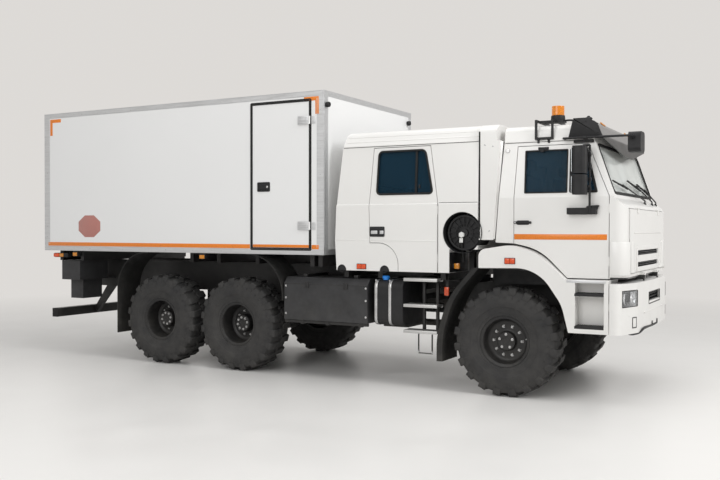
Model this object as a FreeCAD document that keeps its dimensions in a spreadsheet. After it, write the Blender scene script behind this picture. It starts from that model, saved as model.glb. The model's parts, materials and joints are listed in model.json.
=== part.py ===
import FreeCAD, Part
import Sketcher
import math
import os
import re

# Places along X are measured from the front axle (forward is +), along Y from
# the truck's middle (left is +), along Z from the ground. All in millimetres.
SIZES = {
    # whole truck
    "nose_reach": 1430,
    "tail_reach": 7300,
    "wheelbase": 3690,
    "bogie_gap": 1320,
    "track_half": 1020,
    "cut_over": 60,
    "seat_gap": 0.3,
    "pin_gap": 0.3,
    "panel_gap": 7,
    # wheels
    "tyre_radius": 615,
    "tyre_bead_radius": 270,
    "tyre_bulge_radius": 430,
    "tyre_shoulder_radius": 560,
    "tyre_bead_half": 165,
    "tyre_bulge_half": 212,
    "tyre_lugs": 20,
    "lug_root_radius": 582,
    "lug_half": 185,
    "lug_sunk": 20,
    "lug_tip_degrees": 4.5,
    "lug_root_degrees": 5.9,
    "rim_flange_radius": 290,
    "rim_flange_thick": 12,
    "rim_bore_radius": 255,
    "disc_thick": 15,
    "front_disc_place": 45,
    "front_hub_radius": 105,
    "front_hub_face": 130,
    "rear_disc_place": -75,
    "rear_hub_radius": 110,
    "rear_hub_face": 60,
    "hub_cap_thick": 20,
    # axles, hubs and steering
    "axle_tube_radius": 60,
    "spindle_radius": 55,
    "drum_radius": 200,
    "drum_gap": 12,
    "drum_inner_share": 0.8,
    "diff_radius": 170,
    "diff_half": 130,
    "pinion_radius": 80,
    "pinion_reach": 330,
    "kingpin_place": 880,
    "kingpin_radius": 55,
    "kingpin_half": 105,
    "fork_thick": 34,
    "fork_gap": 0.3,
    "fork_radius": 62,
    "web_place": 64,
    "web_thick": 22,
    "arm_reach": 250,
    "arm_end_place": 775,
    "arm_half": 24,
    "tie_eye_radius": 26,
    "tie_eye_thick": 36,
    "tie_rod_radius": 15,
    "tie_pin_radius": 12,
    "spring_pad_half": 70,
    # suspension
    "front_spring_inner": 392,
    "front_spring_outer": 480,
    "front_spring_reach": 740,
    "front_spring_eye": 930,
    "leaf_end_thick": 30,
    "spring_seat": 700,
    "front_pack_top": 795,
    "front_pack_half": 110,
    "trunnion_height": 770,
    "trunnion_radius": 55,
    "trunnion_hub_radius": 95,
    "rear_spring_inner": 440,
    "rear_spring_outer": 530,
    "rear_spring_reach": 700,
    "rear_spring_seat": 735,
    "rear_pack_half": 130,
    "rear_pack_low": 820,
    "rear_pack_top": 940,
    "torque_rod_height": 560,
    "torque_rod_radius": 26,
    "torque_lug_reach": 150,
    "torque_lug_inner": 290,
    "torque_lug_outer": 350,
    "torque_lug_half": 32,
    # chassis frame
    "rail_outer": 435,
    "rail_flange": 80,
    "rail_thick": 10,
    "rail_top": 1235,
    "rail_deep": 250,
    "rail_front": 1150,
    "rail_back": -7050,
    "horn_half": 30,
    "horn_front": 1367.5,
    "cross_low": 1010,
    "cross_top": 1200,
    "cross_wide": 80,
    "sub_top": 1400,
    "sub_front": -2400,
    "bearer_wide": 60,
    "bearer_half": 1150,
    "bearer_short_half": 780,
    "crew_bearer_half": 1090,
    "crew_bearer_low": 1276,
    "jaw_reach": 130,
    "jaw_half": 80,
    "jaw_low": 1040,
    "jaw_top": 1160,
    "jaw_ear": 35,
    "jaw_bore": 20,
    # drive line
    "engine_back": -420,
    "engine_front": 900,
    "engine_half": 330,
    "engine_low": 870,
    "engine_top": 1560,
    "radiator_back": 980,
    "radiator_front": 1060,
    "radiator_low": 960,
    "radiator_top": 1600,
    "gearbox_back": -1150,
    "gearbox_half": 220,
    "gearbox_top": 1225,
    "transfer_front": -1640,
    "transfer_back": -2000,
    "transfer_half": 250,
    "transfer_low": 590,
    "transfer_top": 1150,
    "shaft_radius": 42,
    "shaft_height": 650,
    "input_height": 950,
    # van body
    "van_front": -2320,
    "van_back": -7250,
    "van_half": 1250,
    "van_low": 1547,
    "van_top": 3593,
    "van_wall": 60,
    "profile_top": 74,
    "profile_low": 69,
    "post_front": 100,
    "post_back": 115,
    "van_floor_thick": 80,
    "side_door_back": -3410,
    "side_door_front": -2526,
    "side_door_low": 1622,
    "side_door_top": 3475,
    "hinge_radius": 9,
    "hinge_tall": 100,
    "hinge_out": 14,
    "hinge_strap": 170,
    "hinge_lower": 1860,
    "hinge_upper": 3180,
    "door_pin_radius": 3,
    "door_pin_lower": 1480,
    "door_pin_upper": 2040,
    "lock_rod_out": 36,
    "lock_rod_radius": 14,
    "lock_rod_inset": 160,
    # crew module
    "crew_half": 1190,
    "crew_step": 12,
    "crew_top_half": 1150,
    "crew_wall": 50,
    "crew_low": 1365,
    "crew_waist": 2174,
    "crew_gutter": 2868,
    "crew_roof_edge_half": 1060,
    "crew_roof_rise": 187,
    "crew_crown": 210,
    "crew_corner": 90,
    "crew_back_low": -2173,
    "crew_back_belt": -2195,
    "crew_belt": 1735,
    "crew_back_waist": -2176,
    "crew_back_top": -2100,
    "crew_roof_back": -2075,
    "crew_front": -325,
    "crew_front_low": -671,
    "crew_nose_low": 1640,
    "filter_place": -515,
    "filter_height": 1830,
    "filter_cut_radius": 238,
    "filter_radius": 205,
    "filter_inner": 800,
    "filter_outer": 1120,
    "filter_lip": 24,
    "filter_boss_radius": 45,
    "filter_groove": 1030,
    "crew_door_front": -817,
    "crew_door_front_top": -920,
    "crew_door_back_top": -1671,
    "crew_door_back": -1725,
    "crew_door_belt_back": -1711,
    "crew_door_belt": 1700,
    "crew_door_foot_back": -1330,
    "crew_door_arc": 260,
    "crew_door_drop": 18,
    "crew_glass_low": 2281,
    "crew_glass_drop": 60,
    "crew_glass_back": -1629,
    "crew_glass_back_top": -1603,
    "crew_glass_front": -880,
    "crew_glass_front_top": -983,
    "glass_corner": 55,
    "glass_thick": 8,
    "glass_depth": 18,
    "fairing_back": -318,
    "fairing_front_low": -150,
    "fairing_front_top": -66,
    "fairing_low": 1749,
    "fairing_half": 1165,
    "fairing_thick": 40,
    "fairing_rise": 122,
    # cab
    "cab_half": 1150,
    "cab_top_half": 1095,
    "cab_wall": 50,
    "cab_back_low": -125,
    "cab_back_top": -41,
    "cab_sill": 1345,
    "cab_sill_back": 1722,
    "arch_back": 91,
    "arch_back_height": 1712,
    "arch_mid": 387,
    "arch_mid_height": 1650,
    "arch_front": 690,
    "arch_round": 450,
    "arch_knee_round": 600,
    "cab_gutter": 2835,
    "cab_roof_edge_half": 1050,
    "cab_roof_edge": 3018,
    "cab_top": 3036,
    "cab_roof_front": 900,
    "screen_top": 965,
    "screen_low": 1185,
    "screen_low_height": 2205,
    "cab_front": 1310,
    "cab_brow_height": 2110,
    "cab_corner": 120,
    "cab_belt": 2220,
    "tunnel_half": 400,
    "tunnel_top": 1640,
    "door_back": 85,
    "door_back_top": 115,
    "door_front": 1137,
    "door_front_top": 900,
    "door_top": 2795,
    "door_belt": 2225,
    "door_glass_back": 210,
    "door_glass_front": 680,
    "door_glass_low": 2270,
    "door_glass_top": 2736,
    "quarter_back": 712,
    "quarter_low": 1004,
    "quarter_high": 886,
    "screen_half": 1045,
    "screen_edge": 45,
    "back_glass_half": 420,
    "back_glass_low": 2250,
    "back_glass_top": 2650,
    "panel_split": 1144,
    "hatch_half": 1020,
    "hatch_low": 1395,
    "hatch_top": 2096,
    "hatch_thick": 30,
    "hatch_axis": 1331,
    "hatch_axis_height": 2101,
    "hatch_hinge_radius": 7,
    "hatch_pin_radius": 4,
    "grille_half": 600,
    "grille_low": 1420,
    "grille_split_low": 1510,
    "grille_split_top": 1585,
    "grille_top": 1648,
    "tilt_place": 1352,
    "tilt_height": 1322,
    "tilt_pin_radius": 10,
    "tilt_lug_place": 380,
    "tilt_lug_half": 25,
    "tilt_lug_thick": 18,
    "dash_back": 760,
    "dash_front": 1130,
    "dash_low": 1900,
    "wheel_hub_place": 560,
    "wheel_ring_radius": 225,
    "wheel_ring_thick": 15,
    "wheel_ring_place": 700,
    "wheel_ring_height": 2230,
    "seat_inner": 430,
    "seat_outer": 930,
    "seat_back": 60,
    "seat_front": 580,
    "seat_low": 1850,
    "seat_cushion": 2000,
    "seat_top": 2690,
    "seat_back_thick": 150,
    "bench_half": 900,
    "bench_back": -2060,
    "bench_front": -1560,
    "bench_cushion": 1850,
    "bench_low": 1700,
    "bench_top": 2450,
    # bumper, fenders and steps
    "bumper_half": 1250,
    "bumper_back": 1160,
    "bumper_side_front": 1262,
    "bumper_shoulder": 1372,
    "bumper_shoulder_half": 860,
    "bumper_front": 1395,
    "bumper_flat_half": 300,
    "bumper_low": 760,
    "bumper_top": 1298,
    "bumper_wall": 22,
    "bumper_corner": 90,
    "bumper_round": 260,
    "lamp_inner": 850,
    "lamp_outer": 1190,
    "lamp_low": 1045,
    "lamp_top": 1225,
    "slot_half": 345,
    "slot_low": 1030,
    "slot_top": 1170,
    "fender_inner": 800,
    "fender_outer": 1250,
    "fender_wall": 14,
    "fender_back": -290,
    "fender_back_low": 1434,
    "fender_back_top": 1640,
    "fender_top": 1700,
    "fender_arch_top": 1446,
    "fender_arch_front": 655,
    "fender_arch_low": 1058,
    "fender_slope_low": 1333,
    "step_low": 764,
    "step_back": 728,
    "step_front": 1152,
    "step_recess": 140,
    "step_recess_back": 800,
    "step_recess_front": 1105,
    "tread_thick": 30,
    "tread_upper": 1187,
    "tread_lower": 840,
    "flap_thick": 12,
    "flap_place": -735,
    "flap_low": 345,
    "flap_elbow": -600,
    "flap_elbow_height": 1085,
    "flap_knee_height": 640,
    "flap_lip": 70,
    "flap_round": 900,
    "flap_inner": 790,
    "flap_outer": 1240,
    # rear guards
    "guard_reach": 760,
    "middle_guard_reach": 738,
    "guard_low": 387,
    "guard_round": 520,
    "guard_top_reach": 180,
    "front_guard_low": 960,
    # side and rear equipment
    "box_back_gap": 145,
    "box_front": -1727,
    "box_low": 725,
    "box_top": 1262,
    "box_inner": 560,
    "box_outer": 1215,
    "box_bevel": 75,
    "tank_back": -1644,
    "tank_front": -1262,
    "tank_low": 716,
    "tank_top": 1262,
    "tank_corner": 90,
    "tank_inner": 560,
    "tank_outer": 1195,
    "hanger_half": 30,
    "left_tank_gap": 225,
    "left_tank_front": -1250,
    "ladder_back": -1243,
    "ladder_front": -818,
    "ladder_tread_inner": 1030,
    "ladder_tread_outer": 1205,
    "ladder_tread_thick": 26,
    "ladder_top": 1290,
    "ladder_mid": 985,
    "ladder_low": 680,
    "ladder_post_back": -1054,
    "ladder_post_front": -881,
    "ladder_post_half": 14,
    "stirrup_low": 415,
    "stirrup_radius": 8,
    "underrun_place": -7100,
    "underrun_low": 544,
    "underrun_tall": 128,
    "underrun_deep": 110,
    "underrun_half": 1190,
    "strut_half": 30,
    "locker_back": -6960,
    "locker_front": -6590,
    "locker_low": 1125,
    "locker_top": 1400,
    "locker_inner": 620,
    "locker_outer": 1180,
    "shelf_thick": 12,
    "low_locker_low": 830,
    "lamp_tail_back": -7086,
    "lamp_tail_front": -6780,
    "lamp_tail_inner": 1150,
    "lamp_tail_outer": 1235,
    "lamp_tail_low": 1448,
    "lamp_tail_tall": 60,
    "marker_wide": 90,
    "marker_rear": -6635,
    "marker_mid": -4251,
    "marker_inner": 1150,
    "marker_outer": 1225,
    "marker_low": 1465,
    # roof and mirrors
    "visor_back": 740,
    "visor_top": 3060,
    "visor_lip_round": 20,
    "visor_round": 60,
    "visor_shoulder": 1000,
    "visor_shoulder_height": 2990,
    "visor_brow": 1060,
    "visor_brow_height": 2848,
    "visor_front": 1112,
    "visor_drop": 2670,
    "visor_sweep": 2500,
    "visor_cheek_back": 690,
    "visor_cheek_low": 2853,
    "visor_half": 1130,
    "visor_thick": 14,
    "hoop_back": 312,
    "hoop_front": 494,
    "hoop_top": 3075,
    "hoop_low": 2857,
    "hoop_tuck": 4.8,
    "hoop_inner": 640,
    "hoop_bar": 24,
    "beacon_place": 520,
    "beacon_radius": 75,
    "beacon_lip": 8,
    "beacon_side": 930,
    "beacon_base": 53,
    "beacon_tall": 105,
    "mirror_back": 800,
    "mirror_front": 935,
    "mirror_inner": 1235,
    "mirror_outer": 1425,
    "mirror_low": 2235,
    "mirror_split_low": 2443,
    "mirror_split_top": 2455,
    "mirror_top": 2745,
    "mirror_round": 45,
    "mirror_arm": 12,
    "mirror_arm_place": 945,
    "mirror_stay_place": 880,
    "mirror_stay_height": 2762,
    "mirror_stay_inner": 1103,
    "bracket_low": 2030,
    "bracket_top": 2100,
    "bracket_back": 700,
    "bracket_front": 1010,
    "front_mirror_deep": 130,
    "front_mirror_inner": 820,
    "front_mirror_outer": 1040,
    "front_arm_side": 1165,
    "front_arm_back": 640,
    "front_arm_foot": 1094.5,
    "front_mirror_low": 2690,
    "front_mirror_top": 2905,
    "front_arm_height": 2850,
}

doc = FreeCAD.newDocument("Truck")
sheet = doc.addObject("Spreadsheet::Sheet", "Sizes")
for row, (alias, value) in enumerate(SIZES.items(), 1):
    sheet.set(f"A{row}", alias)
    sheet.set(f"B{row}", str(value))
    sheet.setAlias(f"B{row}", alias)
doc.recompute()

WORD = re.compile(r"[a-z][a-z_]*")
PLANES = {"XY": "XY_Plane", "XZ": "XZ_Plane", "YZ": "YZ_Plane"}
parts = {}
places = {}


def bound(text):
    """The expression with each size name pointed at the sheet."""
    return WORD.sub(lambda m: "Sizes." + m.group(0) if m.group(0) in SIZES else m.group(0), text)


def at(text):
    """The value that an expression has now."""
    if text not in places:
        places[text] = float(sheet.evalExpression(bound(text)))
    return places[text]


def block(name, x, y, z):
    """A box between two places on each axis."""
    box = doc.addObject("Part::Box", name)
    for side, span, axis in zip(("Length", "Width", "Height"), (x, y, z), "xyz"):
        box.setExpression(side, bound(f"({span[1]}) - ({span[0]})"))
        box.setExpression("Placement.Base." + axis, bound(span[0]))
    return box


def rod(name, axis, span, centre, radius):
    """A round bar along an axis; centre gives its place on the two other axes."""
    bar = doc.addObject("Part::Cylinder", name)
    others = [letter for letter in "xyz" if letter != axis]
    turns = {"x": (0, 1, 0, 90), "y": (1, 0, 0, -90), "z": (0, 0, 1, 0)}
    turn = turns[axis]
    bar.Placement.Rotation = FreeCAD.Rotation(FreeCAD.Vector(*turn[:3]), turn[3])
    bar.setExpression("Radius", bound(radius))
    bar.setExpression("Height", bound(f"({span[1]}) - ({span[0]})"))
    bar.setExpression("Placement.Base." + axis, bound(span[0]))
    for letter, place in zip(others, centre):
        bar.setExpression("Placement.Base." + letter, bound(place))
    return bar


def sketch_of(body, plane, points, offset):
    """A closed outline of straight lines, each corner held by the sheet."""
    sketch = body.newObject("Sketcher::SketchObject", body.Name + "Sketch")
    role = PLANES[plane]
    base = [item for item in body.Origin.OriginFeatures if item.Role == role][0]
    sketch.AttachmentSupport = [(base, "")]
    sketch.MapMode = "FlatFace"
    sketch.setExpression("AttachmentOffset.Base.z", bound(offset))
    corners = [(at(a), at(b)) for a, b in points]
    count = len(corners)
    for index, corner in enumerate(corners):
        following = corners[(index + 1) % count]
        start = FreeCAD.Vector(corner[0], corner[1], 0)
        end = FreeCAD.Vector(following[0], following[1], 0)
        sketch.addGeometry(Part.LineSegment(start, end), False)
    for index in range(count):
        sketch.addConstraint(Sketcher.Constraint("Coincident", index, 2, (index + 1) % count, 1))
    for index, (a, b) in enumerate(points):
        for kind, text in (("DistanceX", a), ("DistanceY", b)):
            rule = Sketcher.Constraint(kind, -1, 1, index, 1, at(text))
            number = sketch.addConstraint(rule)
            sketch.setExpression(f"Constraints[{number}]", bound(text))
    return sketch


def pad(name, plane, span, points):
    """A straight-sided outline, padded between two places along its normal."""
    body = doc.addObject("PartDesign::Body", name)
    flipped = plane == "XZ"
    offset = f"-({span[1]})" if flipped else span[0]
    sketch = sketch_of(body, plane, points, offset)
    grown = body.newObject("PartDesign::Pad", name + "Pad")
    grown.Profile = sketch
    grown.setExpression("Length", bound(f"({span[1]}) - ({span[0]})"))
    return body


def turned(name, points, centre):
    """An outline of (place along Y, radius) turned about a line along Y."""
    body = doc.addObject("PartDesign::Body", name)
    sketch = sketch_of(body, "YZ", points, "0")
    spun = body.newObject("PartDesign::Revolution", name + "Turn")
    spun.Profile = sketch
    spun.ReferenceAxis = (sketch, ["H_Axis"])
    spun.Angle = 360
    for axis, place in zip("xyz", centre):
        body.setExpression("Placement.Base." + axis, bound(place))
    return body


def rounded_wire(points, place):
    """A closed wire through corners (a, b, radius), each radius a tangent arc."""
    corners = [(at(p[0]), at(p[1]), at(p[2]) if len(p) > 2 else 0.0) for p in points]
    count = len(corners)
    stops = []
    for index, (a, b, radius) in enumerate(corners):
        before = corners[index - 1]
        after = corners[(index + 1) % count]
        back = FreeCAD.Vector(before[0] - a, before[1] - b, 0).normalize()
        ahead = FreeCAD.Vector(after[0] - a, after[1] - b, 0).normalize()
        corner = FreeCAD.Vector(a, b, 0)
        if not radius:
            stops.append((corner, None, corner))
            continue
        half = back.getAngle(ahead) / 2
        reach = radius / math.tan(half)
        middle = corner + (back + ahead).normalize() * (radius / math.sin(half) - radius)
        stops.append((corner + back * reach, middle, corner + ahead * reach))
    edges = []
    for index, (start, middle, end) in enumerate(stops):
        if middle is not None:
            edges.append(Part.Arc(place(start), place(middle), place(end)).toShape())
        following = stops[(index + 1) % count][0]
        if (following - end).Length > 1e-6:
            edges.append(Part.LineSegment(place(end), place(following)).toShape())
    return Part.Wire(edges)


def prism(name, plane, span, points, inset=None):
    """An outline with round corners, drawn out along its normal."""
    low, high = at(span[0]), at(span[1])
    lifts = {
        "XY": (lambda v: FreeCAD.Vector(v.x, v.y, low), FreeCAD.Vector(0, 0, high - low)),
        "XZ": (lambda v: FreeCAD.Vector(v.x, low, v.y), FreeCAD.Vector(0, high - low, 0)),
        "YZ": (lambda v: FreeCAD.Vector(low, v.x, v.y), FreeCAD.Vector(high - low, 0, 0)),
    }
    place, run = lifts[plane]
    wire = rounded_wire(points, place)
    if inset:
        wire = wire.makeOffset2D(-at(inset))
    feature = doc.addObject("Part::Feature", name)
    feature.Shape = Part.Face(wire).extrude(run)
    return feature


def fuse(name, *pieces):
    """One solid from several, or several that don't touch in one object."""
    joined = doc.addObject("Part::MultiFuse", name)
    joined.Shapes = list(pieces)
    return joined


def cut(name, base, *tools):
    """The base without what the tools cover."""
    tool = tools[0] if len(tools) == 1 else fuse(name + "Tools", *tools)
    left = doc.addObject("Part::Cut", name)
    left.Base = base
    left.Tool = tool
    return left


def common(name, *pieces):
    """What all the pieces share."""
    shared = doc.addObject("Part::MultiCommon", name)
    shared.Shapes = list(pieces)
    return shared


def mirrored(name, piece):
    """The same piece on the other side of the truck."""
    other = doc.addObject("Part::Mirroring", name)
    other.Source = piece
    other.Normal = FreeCAD.Vector(0, 1, 0)
    return other


def both(name, piece):
    """A piece and its mirror image."""
    return fuse(name, piece, mirrored(name + "Other", piece))


def moved(name, piece, x="0", y="0", z="0"):
    """A copy of a piece, shifted."""
    copy = doc.addObject("Part::Compound", name)
    copy.Links = [piece]
    for axis, text in (("x", x), ("y", y), ("z", z)):
        copy.setExpression("Placement.Base." + axis, bound(text))
    return copy


def publish(node, *pieces):
    """The finished sub-part, shifted so that the truck's middle is at X zero."""
    whole = doc.addObject("Part::Compound", node)
    whole.Label = node
    whole.Links = list(pieces)
    whole.setExpression("Placement.Base.x", bound("(tail_reach - nose_reach) / 2"))
    parts[node] = whole


# Chassis frame: two rails, the members between them and the bearers on top.
def chassis_frame():
    inner = "rail_outer - rail_flange"
    low = "rail_top - rail_deep"
    rail = block("Rail", ("rail_back", "rail_front"), (inner, "rail_outer"), (low, "rail_top"))
    hollow = block("RailHollow", ("rail_back - cut_over", "rail_front + cut_over"),
                   (inner + " - cut_over", "rail_outer - rail_thick"),
                   (low + " + rail_thick", "rail_top - rail_thick"))
    channel = cut("Channel", rail, hollow)
    middle = "rail_outer - rail_flange / 2"
    horn = block("Horn", ("rail_front - cross_wide", "horn_front"),
                 (middle + " - horn_half", middle + " + horn_half"), ("cross_low", "cross_top"))
    post = block("CabPost", ("cab_back_low", "cab_back_low + cross_wide"), (inner, "rail_outer"),
                 ("rail_top", "cab_sill_back - panel_gap"))
    runner = block("SubRunner", ("rail_back", "sub_front"), (inner, "rail_outer"), ("rail_top", "sub_top"))
    sides = both("FrameSides", fuse("FrameSide", channel, horn, post, runner))
    members = []
    fronts = ("rail_front", "gearbox_back - cross_wide", "transfer_back - 2 * cross_wide",
              "tyre_radius + box_back_gap - wheelbase", "cross_wide / 2 - wheelbase - bogie_gap / 2",
              "locker_front + 12 * cross_wide",
              "rail_back + rail_thick + cross_wide")
    for number, front in enumerate(fronts):
        members.append(block(f"Cross{number}", (front + " - cross_wide", front),
                             ("rail_thick - rail_outer", "rail_outer - rail_thick"),
                             ("cross_low", "cross_top")))
    bearers = (
        ("rail_back + 2 * rail_thick", "bearer_half"),
        ("lamp_tail_front + 3 * bearer_wide", "bearer_half"),
        ("guard_top_reach - wheelbase - bogie_gap", "bearer_short_half"),
        ("-wheelbase - bogie_gap / 2", "bearer_short_half"),
        ("-wheelbase", "bearer_short_half"),
        ("tyre_radius + box_back_gap - wheelbase - 6 * bearer_wide", "bearer_short_half"),
        ("sub_front - 3 * bearer_wide", "bearer_half"),
        ("sub_front - bearer_wide", "bearer_half"))
    for number, (back, half) in enumerate(bearers):
        members.append(block(f"Bearer{number}", (back, back + " + bearer_wide"), (f"-{half}", half),
                             ("sub_top", "van_low")))
    for number, back in enumerate(("crew_back_waist + bearer_wide", "tank_back", "ladder_front")):
        long = (back, back + " + bearer_wide")
        members.append(block(f"CrewBearer{number}", long, ("-crew_bearer_half", "crew_bearer_half"),
                             ("crew_bearer_low", "crew_low")))
        members.append(block(f"CrewPad{number}", long, ("-rail_outer", "rail_outer"),
                             ("rail_top", "crew_low")))
    jaw = block("Jaw", ("rail_back - jaw_reach", "rail_back + rail_thick"), ("-jaw_half", "jaw_half"),
                ("jaw_low", "jaw_top"))
    mouth = block("JawMouth", ("rail_back - jaw_reach - cut_over", "rail_back - jaw_half / 4"),
                  ("-jaw_half - cut_over", "jaw_half + cut_over"),
                  ("jaw_low + jaw_ear", "jaw_top - jaw_ear"))
    bore = rod("JawBore", "z", ("jaw_low - cut_over", "jaw_top + cut_over"),
               ("rail_back - jaw_reach / 2 - jaw_bore", "0"), "jaw_bore")
    members.append(cut("JawOpen", jaw, mouth, bore))
    publish("chassis_frame", fuse("Chassis", sides, *members))


# Engine block with radiator, gearbox, transfer box and the shafts to the axles.
def power_train():
    engine = block("Engine", ("engine_back", "engine_front"), ("-engine_half", "engine_half"),
                   ("engine_low", "engine_top"))
    radiator = block("Radiator", ("radiator_back", "radiator_front"), ("-engine_half", "engine_half"),
                     ("radiator_low", "radiator_top"))
    hoses = rod("Hose", "x", ("engine_front", "radiator_back"), ("0", "input_height"), "shaft_radius")
    gearbox = block("Gearbox", ("gearbox_back", "engine_back"), ("-gearbox_half", "gearbox_half"),
                    ("engine_low", "gearbox_top"))
    transfer = block("Transfer", ("transfer_back", "transfer_front"),
                     ("-transfer_half", "transfer_half"), ("transfer_low", "transfer_top"))
    link = rod("InputShaft", "x", ("transfer_front", "gearbox_back"), ("0", "input_height"), "shaft_radius")
    ahead = rod("FrontShaft", "x", ("transfer_front", "-pinion_reach"), ("0", "shaft_height"),
                "shaft_radius")
    behind = rod("MiddleShaft", "x", ("pinion_reach - wheelbase", "transfer_back"), ("0", "shaft_height"),
                 "shaft_radius")
    between = rod("RearShaft", "x", ("pinion_reach - wheelbase - bogie_gap", "-wheelbase - pinion_reach"),
                  ("0", "shaft_height"), "shaft_radius")
    train = fuse("Train", engine, radiator, hoses, gearbox, transfer, link, ahead, behind)
    publish("power_train", train, between)


# An axle's housing: tubes, differential and a nose for each shaft.
def axle_core(name, place, reach, noses):
    tube = rod(name + "Tube", "y", (f"-({reach})", reach), (place, "tyre_radius"), "axle_tube_radius")
    bowl = rod(name + "Bowl", "y", ("-diff_half", "diff_half"), (place, "tyre_radius"), "diff_radius")
    pieces = [tube, bowl]
    for number, (back, front) in enumerate(noses):
        pieces.append(rod(f"{name}Nose{number}", "x", (back, front), ("0", "tyre_radius"), "pinion_radius"))
    return pieces


def front_axle():
    pieces = axle_core("FrontAxle", "0", "kingpin_place", [("-pinion_reach", "0")])
    pin = rod("Kingpin", "z", ("tyre_radius - kingpin_half", "tyre_radius + kingpin_half"),
              ("0", "kingpin_place"), "kingpin_radius")
    pad_block = block("FrontPad", ("-spring_pad_half", "spring_pad_half"),
                      ("front_spring_inner", "front_spring_outer"), ("tyre_radius", "spring_seat"))
    publish("front_axle", fuse("FrontAxle", *pieces, both("Kingpins", pin), both("FrontPads", pad_block)))


def rear_axles():
    whole = []
    for name, place, noses in (
            ("MiddleAxle", "-wheelbase",
             [("-wheelbase", "pinion_reach - wheelbase"), ("-wheelbase - pinion_reach", "-wheelbase")]),
            ("LastAxle", "-wheelbase - bogie_gap",
             [("-wheelbase - bogie_gap", "pinion_reach - wheelbase - bogie_gap")])):
        inner = "track_half - drum_inner_share * drum_radius - disc_thick * 2"
        pieces = axle_core(name, place, inner, noses)
        drum = rod(name + "Drum", "y", (inner, "track_half + rear_disc_place - drum_gap"),
                   (place, "tyre_radius"), "drum_radius")
        spindle = rod(name + "Spindle", "y",
                      (inner, "track_half + rear_hub_face - hub_cap_thick - pin_gap"),
                      (place, "tyre_radius"), "spindle_radius")
        seat = block(name + "Seat", (f"{place} - spring_pad_half", f"{place} + spring_pad_half"),
                     ("rear_spring_inner", "rear_spring_outer"), ("tyre_radius", "rear_spring_seat"))
        inward = "-" if name == "MiddleAxle" else "+"
        ends = sorted((place, f"{place} {inward} torque_lug_reach"), key=at)
        lug = block(name + "Lug", tuple(ends), ("torque_lug_inner", "torque_lug_outer"),
                    ("torque_rod_height - torque_lug_half", "tyre_radius"))
        sides = both(name + "Sides", fuse(name + "Side", drum, spindle, seat, lug))
        whole.append(fuse(name + "Whole", *pieces, sides))
    publish("rear_axles", *whole)


# Steering knuckles: fork, web, drum, spindle and arm, with the tie rod.
def knuckles():
    for side, sign in (("left", ""), ("right", "-")):
        def span(low, high):
            return (low, high) if not sign else (f"-({high})", f"-({low})")
        centre = ("0", f"{sign}(kingpin_place)")
        base = "kingpin_place + web_place"
        pieces = []
        for level, low, high in (
                ("Upper", "tyre_radius + kingpin_half + fork_gap",
                 "tyre_radius + kingpin_half + fork_gap + fork_thick"),
                ("Lower", "tyre_radius - kingpin_half - fork_gap - fork_thick",
                 "tyre_radius - kingpin_half - fork_gap")):
            pieces.append(rod(f"{side}{level}Disc", "z", (low, high), centre, "fork_radius"))
            pieces.append(block(f"{side}{level}Bridge", ("-kingpin_radius", "kingpin_radius"),
                                span("kingpin_place", base + " + web_thick"), (low, high)))
        pieces.append(block(side + "Web", ("-kingpin_radius", "kingpin_radius"),
                            span(base, base + " + web_thick"),
                            ("tyre_radius - kingpin_half - fork_gap - fork_thick",
                             "tyre_radius + kingpin_half + fork_gap + fork_thick")))
        pieces.append(rod(side + "Drum", "y", span(base + " + web_thick",
                                                   "track_half + front_disc_place - drum_gap"),
                          ("0", "tyre_radius"), "drum_radius"))
        pieces.append(rod(side + "Spindle", "y",
                          span(base, "track_half + front_hub_face - hub_cap_thick - pin_gap"),
                          ("0", "tyre_radius"), "spindle_radius"))
        low = "tyre_radius - kingpin_half - fork_gap - fork_thick"
        arm = pad(side + "Arm", "XY", (low, low + " + fork_thick"), [
            ("arm_half", f"{sign}(kingpin_place + arm_half)"),
            ("arm_half", f"{sign}(kingpin_place - fork_radius)"),
            ("-arm_reach - arm_half", f"{sign}(arm_end_place - arm_half)"),
            ("-arm_reach - arm_half", f"{sign}(arm_end_place + arm_half)"),
            ("-arm_half", f"{sign}(kingpin_place + arm_half)")])
        pieces.append(arm)
        if side == "right":
            pieces.append(rod(side + "ArmPin", "z", (f"{low} - fork_gap - tie_eye_thick", low),
                              ("-arm_reach", f"{sign}(arm_end_place)"), "tie_pin_radius"))
        publish(f"knuckle_{side}", fuse(f"Knuckle{side}", *pieces))


def tie_rod():
    top = "tyre_radius - kingpin_half - 2 * fork_gap - fork_thick"
    low = f"{top} - tie_eye_thick"
    eye = rod("TieEye", "z", (low, top), ("-arm_reach", "arm_end_place"), "tie_eye_radius")
    bar = rod("TieBar", "y", ("tie_eye_radius / 2 - arm_end_place", "arm_end_place - tie_eye_radius / 2"),
              ("-arm_reach", f"{top} - tie_eye_thick / 2"), "tie_rod_radius")
    bore = rod("TieBore", "z", (f"{low} - cut_over", f"{top} + cut_over"),
               ("-arm_reach", "-arm_end_place"), "tie_pin_radius + pin_gap")
    publish("tie_rod", cut("TieRod", fuse("TieBody", both("TieEyes", eye), bar), bore))


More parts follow.
